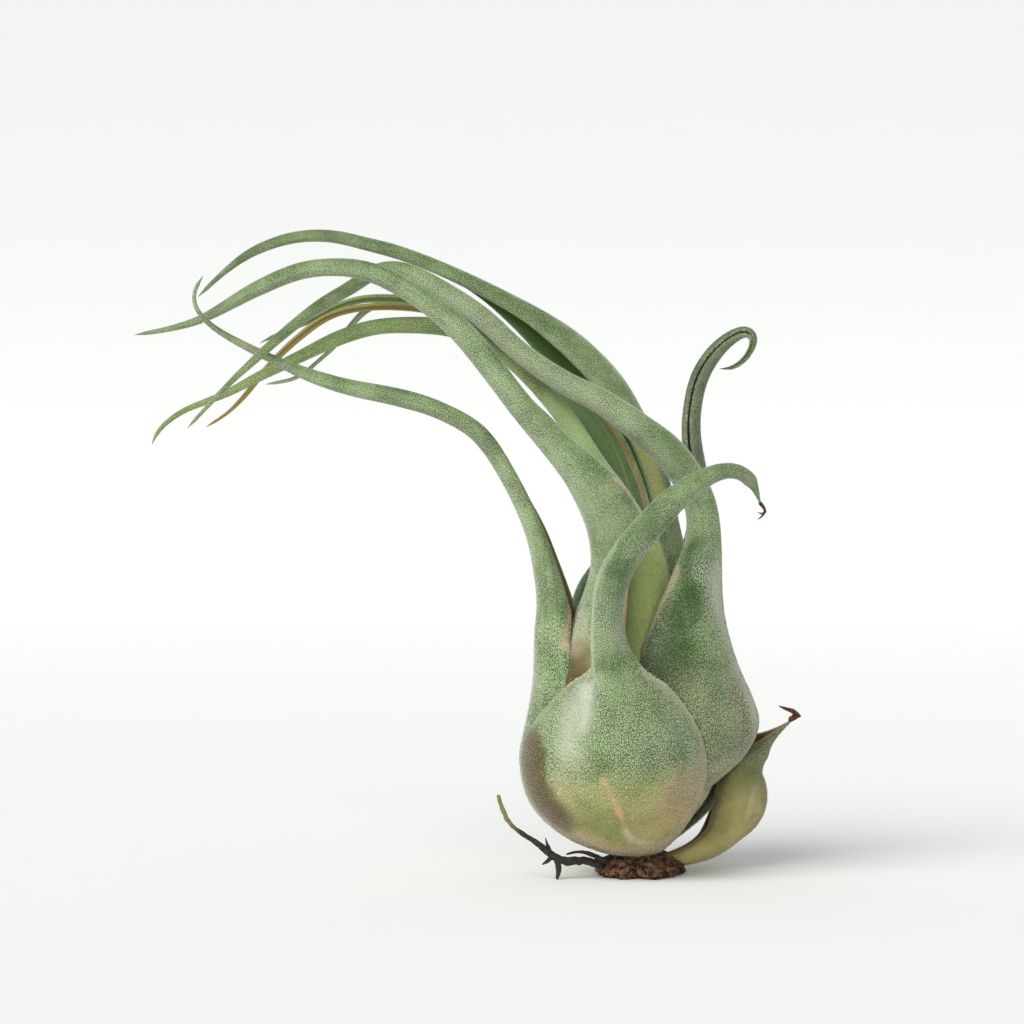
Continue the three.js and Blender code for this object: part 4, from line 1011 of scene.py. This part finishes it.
def leaf_look(name, dark=GREEN_DARK, light=GREEN_LIGHT, channel=CHANNEL, frost=0.3, rim=PINK_RIM,
              midline=False, shade=0.8, margin=0.5, sheen=0.9, frosting=WHITE_FROST, inside=0.2):
    """frost: its level. rim: the margins' colour. midline: a pale line along the channel. shade: how
    much painted shade darkens the leaf in its creases. margin: the rim's strength on the blade.
    inside: the frost's share in the channel."""
    look = Look("skin_" + name)
    arc, along, _ = look.parts("leaf")
    edge, inner, part = look.parts("rim")
    openness, radius, _ = look.parts("site")
    low = look.split(look.place)[2].ease(*BASE_FADE, 1.0, 0.0)
    down = look.split(look.normal)[2] * -1.0
    blade = part.ease(1.1, 1.8)
    # painted shade: how strongly a place counts as a shaded crease, from its measured openness
    crease = openness.ease(0.05, 0.5, shade, 0.0)
    cloud = look.noise(look.place, CLOUDS, 3.0, 0.55)
    streak = look.noise(look.grid(arc, along, STREAKS), 1.0, 4.0, 0.6)
    broken = look.noise(look.grid(arc, along, BREAKS), 1.0, 3.0, 0.7).ease(0.35, 0.6)

    colour = look.mix((streak * 0.5 + cloud * 0.5).ease(0.38, 0.62), dark, light)
    colour = look.mix(low * cloud.ease(0.3, 0.7, 0.5, 0.95), colour, OLIVE)
    colour = look.mix(inner * 0.9, colour, channel)
    # painted shade: creases darkened towards the dark brown crease colour, more on the outside than in the
    # channel
    colour = look.mix(crease * inner.ease(0.0, 1.0, 0.8, 0.3), colour, PAINTED_CREASE_SHADE)
    for points, reach, soft, tint, strength, gaps in MARKS.get(name, ()):
        mask = look.line(points, reach, soft) * broken.ease(0.0, 1.0, strength * (1 - gaps), strength)
        colour = look.mix(mask, colour, tint)

    level = cloud.ease(0.33, 0.67, 0.72, 1.28) * frost
    for points, reach, soft, more in FROST_AND_PAINTED_LIGHT.get(name, ()):
        level = level + look.line(points, reach, soft) * more
    level = level + (edge / (radius + 1.0)).ease(0.0, 0.3, 0.2, 0.0) * inner.ease(0.0, 0.6, 1.0, 0.0)
    # the frost thins in the painted-shade creases too, which darkens them further
    level = level * crease.ease(0.0, 1.0, 1.0, 0.4) * inner.ease(0.3, 0.9, 1.0, inside)
    level = level * (1.0 + down.ease(-0.9, 0.8, TOPSIDE - 1, UNDERSIDE - 1) * blade)
    cells = [look.cells(look.grid(arc, along, size)) for size in (STROKES, DOTS)]
    gap, chance = (stroke * (1.0 - blade) + dot * blade for stroke, dot in zip(*cells))
    spot = gap.ease(0.06, 0.45, 1.0, 0.0) * chance.ease(0.1, 0.9, 0.5, 1.0)
    bare, full = (base + blade * (top - base) for base, top in (BARE, FULL))
    amount = level * (bare + spot.ease(0.0, 0.95) * (full - bare))
    colour = look.mix(amount.within(0.0, 0.95), colour, look.mix(low, frosting, TAN_FROST))

    if midline:
        near = look.math("ABSOLUTE", arc).ease(0.12, 0.4, 1.0, 0.0)
        colour = look.mix(near * inner * 0.7, colour, MIDLINE)
    wander = edge / (radius * RIM_SHARE).within(*RIM_LIMITS) + (streak - 0.5) * 2.0
    rim_share = wander.ease(0.4, 1.5, 0.85, 0.0) * blade.ease(0.0, 1.0, 1.0, margin)
    colour = look.mix(rim_share, colour, rim)
    return look.finish(colour, 0.7, spot * 0.7 + streak * 0.8, 0.10, sheen=sheen, specular=0.2)


def wood_look(name, dark, light, scale, tip=None, gloss=0.2):
    """tip: the colour at a root's free end."""
    look = Look(name)
    grain = look.noise(look.place, scale, 5.0, 0.65)
    crack = look.cells(look.place, scale * 1.4, flat=False)[0].ease(0.0, 0.5)
    colour = look.mix(grain.ease(0.40, 0.66), dark, light)
    colour = look.mix(crack * 0.4, colour, dark)
    if tip:
        colour = look.mix(look.split(look.place)[0].ease(-26.5, -23.0, 0.9, 0.0), colour, tip)
    return look.finish(colour, 0.75, grain + crack, 0.25, specular=gloss)


for leaf_name, ob in leaves.items():
    ob.data.materials.clear()  # a cut leaf brings an empty slot
    ob.data.materials.append(leaf_look(leaf_name, **LOOKS[leaf_name]))
rootstock.data.materials.append(wood_look("crumbling_stub", (0.016, 0.009, 0.006), (0.34, 0.18, 0.095), 0.9))
root_long.data.materials.append(
    wood_look("root_bark", (0.010, 0.007, 0.006), (0.045, 0.031, 0.024), 1.8, (0.25, 0.21, 0.08), 0.6))
root_short.data.materials.append(wood_look("root_thin", (0.02, 0.013, 0.009), (0.12, 0.075, 0.045), 1.8))
dried_tips.data.materials.append(wood_look("dried_tip", (0.07, 0.022, 0.012), (0.30, 0.14, 0.075), 2.2))

# ---- frost and fringes ----------------------------------------------------------------------------

FROST_PER_MM2 = 8.0
INSIDE_SHARE = 0.15  # of that, in a channel
LEAST_OPEN = 0.12  # frost is left off places that lie deeper in a crease than this
SCALE_LENGTH, SCALE_WIDTH = (0.16, 0.38), (0.018, 0.034)
SCALE_LIFT, SCALE_TURN = (12, 50), 0.35  # degrees off the skin, and the spread of its turn in radians
SHORTER = 0.4  # by this share on the blade
SCALE_ROOT, BEAD_OUT = 0.03, 0.06  # how deep a scale is rooted, and how far out a bead lies
FRINGE_STEP = 0.34
BEAD, BEAD_SIZES, BEAD_LONG = 0.17, (0.6, 1.2), 1.4  # a bead's radius, its spread and its half length
BEAD_SIDES = 6
# The leaf, its fringe's line, how far the beads stray from it and their size.
FRINGES = [
    ("leaf_front", FRONT_LEFT, 0.15, 1.3), ("leaf_front", FRONT_RIGHT, 0.2, 1.15),
    ("leaf_right", RIGHT_LEFT, 0.45, 1.1), ("leaf_left", LEFT_RIGHT, 0.2, 0.9),
    ("leaf_inner_low", INNER_RIGHT, 0.15, 0.9), ("leaf_middle", MIDDLE_RIGHT, 0.15, 0.9),
]


def scatter(ob, leaf_name, rng):
    """The frost's roots on one leaf, the ways outward and along it there, and 0 in the sheath to 1."""
    mesh = ob.data
    corner, co = surface(ob)
    leaf, rim, site = (layer_of(mesh, key).astype(float) for key in LAYERS)
    a, b, c = (co[corner[:, i]] for i in range(3))
    e1, e2 = b - a, c - a
    cross = np.cross(e1, e2)
    area = np.linalg.norm(cross, axis=1) / 2
    d1, d2 = (leaf[corner[:, i], 1] - leaf[corner[:, 0], 1] for i in (1, 2))
    g11, g12, g22 = (np.sum(p * q, 1) for p, q in ((e1, e1), (e1, e2), (e2, e2)))
    det = np.maximum(g11 * g22 - g12 * g12, 1e-12)
    grain = unit(e1 * ((g22 * d1 - g12 * d2) / det)[:, None] + e2 * ((g11 * d2 - g12 * d1) / det)[:, None])
    known = (rim[corner, 2] > 0).all(1) & (site[corner, 0].mean(1) > LEAST_OPEN)
    outer = rim[corner, 1].mean(1) < 0.6
    weight = area * known * np.where(outer, 1, INSIDE_SHARE) * FROST_PER_MM2
    thick = np.ones(len(weight))
    for points, reach, soft, more in FROST_AND_PAINTED_LIGHT.get(leaf_name, ()):
        thick += 1.5 * more * (1 - smoothstep(gap_to_line((a + b + c) / 3, points), reach, reach + soft))
    weight = weight * np.clip(thick, 0.05, 2)
    pick = rng.choice(len(weight), int(weight.sum()), p=weight / weight.sum())
    u, v = rng.random(len(pick)), rng.random(len(pick))
    flip = u + v > 1
    u, v = np.where(flip, 1 - u, u), np.where(flip, 1 - v, v)
    root = a[pick] + e1[pick] * u[:, None] + e2[pick] * v[:, None]
    return root, unit(cross)[pick], grain[pick], np.clip(rim[corner[pick, 0], 2] - 1, 0, 1)


def frost_scales(root, out, grain, blade, rng):
    """Each scale is a slim closed pyramid that leans towards the leaf's tip, with a tone of its own."""
    count = len(root)
    side = np.cross(out, grain)
    turn = rng.normal(0, SCALE_TURN, count)[:, None]
    way = unit(grain * np.cos(turn) + side * np.sin(turn))
    side = np.cross(out, way)
    lift = np.radians(rng.uniform(*SCALE_LIFT, count))[:, None]
    length = (rng.uniform(*SCALE_LENGTH, count) * (1 - SHORTER * blade))[:, None]
    width = rng.uniform(*SCALE_WIDTH, count)[:, None]
    points = np.stack([
        root - side * width - out * SCALE_ROOT - way * 0.04,
        root + side * width - out * SCALE_ROOT - way * 0.04,
        root + way * length * 0.45 - out * 0.05,
        root + (way * np.cos(lift) + out * np.sin(lift)) * length,
    ], 1).reshape(-1, 3)
    tone = np.stack([1 - smoothstep(root[:, 2], *BASE_FADE), rng.random(count), np.zeros(count)], 1)
    k = np.arange(count)[:, None] * 4
    faces = np.concatenate([k + [0, 1, 3], k + [1, 2, 3], k + [2, 0, 3], k + [0, 2, 1]])
    return new_object("plant_scales", points, faces.tolist(), {"tone": np.repeat(tone, 4, axis=0)})


def scale_look():
    look = Look("frost_scales")
    warm, bright, _ = look.parts("tone")
    white = look.mix(bright, (0.34, 0.40, 0.22), (0.82, 0.84, 0.72))
    tan = look.mix(bright, (0.24, 0.17, 0.08), (0.80, 0.68, 0.50))
    return look.finish(look.mix(warm, white, tan), 0.7, look.noise(look.place, 6.0, 2.0, 0.5), 0.01)


def fringe_beads(rng):
    """Small closed spindles in a row along the margins of the sheaths."""
    parts = []
    for leaf_name, line, stray, size in FRINGES:
        tree = joined_tree([leaves[leaf_name]])
        places, _ = even_places(line, FRINGE_STEP)
        for spot in spline(line, places):
            near, normal, _, _ = tree.find_nearest(Vector(spot + rng.normal(0, stray, 3)))
            spot = np.array(near + normal * BEAD_OUT)
            big = BEAD * size * rng.uniform(*BEAD_SIZES)
            way = unit(rng.normal(0, 1, 3))
            side = unit(np.cross(way, UP))
            top = np.cross(side, way)
            turns = np.linspace(0, 2 * math.pi, BEAD_SIDES, False)
            ring = [spot + (side * math.cos(t) + top * math.sin(t)) * big for t in turns]
            ends = [spot - way * big * BEAD_LONG, spot + way * big * BEAD_LONG]
            parts.append((np.array(ring + ends), skin_faces(1, BEAD_SIDES)))
    return as_object("plant_fringe", parts)


def fringe_look():
    look = Look("fringe_beads")
    cloud = look.noise(look.place, 0.6, 3.0, 0.5)
    colour = look.mix(cloud.ease(0.35, 0.65), (0.46, 0.33, 0.20), (0.70, 0.60, 0.47))
    return look.finish(colour, 0.8, cloud, 0.02)


rng = np.random.default_rng(7)
found = [scatter(ob, leaf_name, rng) for leaf_name, ob in leaves.items()]
scales = frost_scales(*(np.concatenate(part) for part in zip(*found)), rng)
scales.data.materials.append(scale_look())
fringe = fringe_beads(rng)
fringe.data.materials.append(fringe_look())

# ---- into the frame -------------------------------------------------------------------------------

woody = [("rootstock", rootstock), ("root_long", root_long), ("root_short", root_short)]
for node, ob in list(leaves.items()) + woody:
    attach(ob, "root")
    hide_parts(node)
    "rootstock" if node == "rootstock" else "root" if node.startswith("root") else "leaf"
for ob in (scales, fringe, dried_tips):
    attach(ob, "root")

# ---- floor, light and camera ----------------------------------------------------------------------

FLOOR_COLOUR, WALL_COLOUR = (0.838, 0.850, 0.841), (0.620, 0.632, 0.624)
WALL_FROM = (1300.0, 1950.0)  # how far back the floor's colour gives way to the wall's
SKY_COLOUR, SKY = (0.96, 0.98, 1.0, 1.0), 0.43
# Each sun's way, strength, softness in degrees and colour.
SUNS = {
    "key": ((0.52, 0.60, -0.70), 2.5, 40, (1.0, 0.99, 0.965)),
    "fill": ((0.02, 1.0, -0.25), 0.85, 50, (1.0, 0.995, 0.98)),
}


def sweep_floor():
    """A pale floor that curves up into a wall far behind, both in metres here."""
    line = [(-3.0, 0.0), (-1.5, 0.0), (-0.7, 0.0), (0.0, 0.0), (0.6, 0.0), (1.2, 0.0)]
    line += [(1.2 + 0.8 * math.sin(a), 0.8 - 0.8 * math.cos(a)) for a in np.linspace(0.05, math.pi / 2, 24)]
    line += [(2.0, 3.5)]
    points = [(x, y, z) for y, z in line for x in (-3.5, 3.5)]
    faces = [[2 * i, 2 * i + 1, 2 * i + 3, 2 * i + 2] for i in range(len(line) - 1)]
    ob = new_object("floor", np.array(points) / MM, faces)
    look = Look("pale_floor")
    tone = look.noise(look.place, 0.004, 2.0, 0.5).ease(0.3, 0.7, 0.0, 0.015)
    pale = look.mix(look.split(look.place)[1].ease(*WALL_FROM), FLOOR_COLOUR, WALL_COLOUR)
    colour = look.mix(tone, pale, (0.6, 0.6, 0.6))
    ob.data.materials.append(look.finish(colour, 0.9, specular=0.0))


sweep_floor()
for sun_name, (toward, strength, soft, colour) in SUNS.items():
    data = bpy.data.lights.new(sun_name, "SUN")
    data.energy, data.angle, data.color = strength, math.radians(soft), colour
    ob = bpy.data.objects.new(sun_name, data)
    ob.rotation_euler = Vector(toward).to_track_quat("-Z", "Y").to_euler()
    bpy.context.scene.collection.objects.link(ob)

world = bpy.data.worlds.new("studio")
world.use_nodes = True
for i, setting in enumerate((SKY_COLOUR, SKY)):
    world.node_tree.nodes["Background"].inputs[i].default_value = setting
bpy.context.scene.world = world
bpy.context.scene.view_settings.view_transform = "Standard"

camera_data = bpy.data.cameras.new("camera")
camera_data.lens, camera_data.sensor_width = LENS, SENSOR
camera_data.clip_start, camera_data.clip_end = 0.01, 20.0
camera = bpy.data.objects.new("camera", camera_data)
camera.location = CAMERA_AT
camera.rotation_euler = (math.pi / 2, 0, 0)
bpy.context.scene.collection.objects.link(camera)
bpy.context.scene.camera = camera
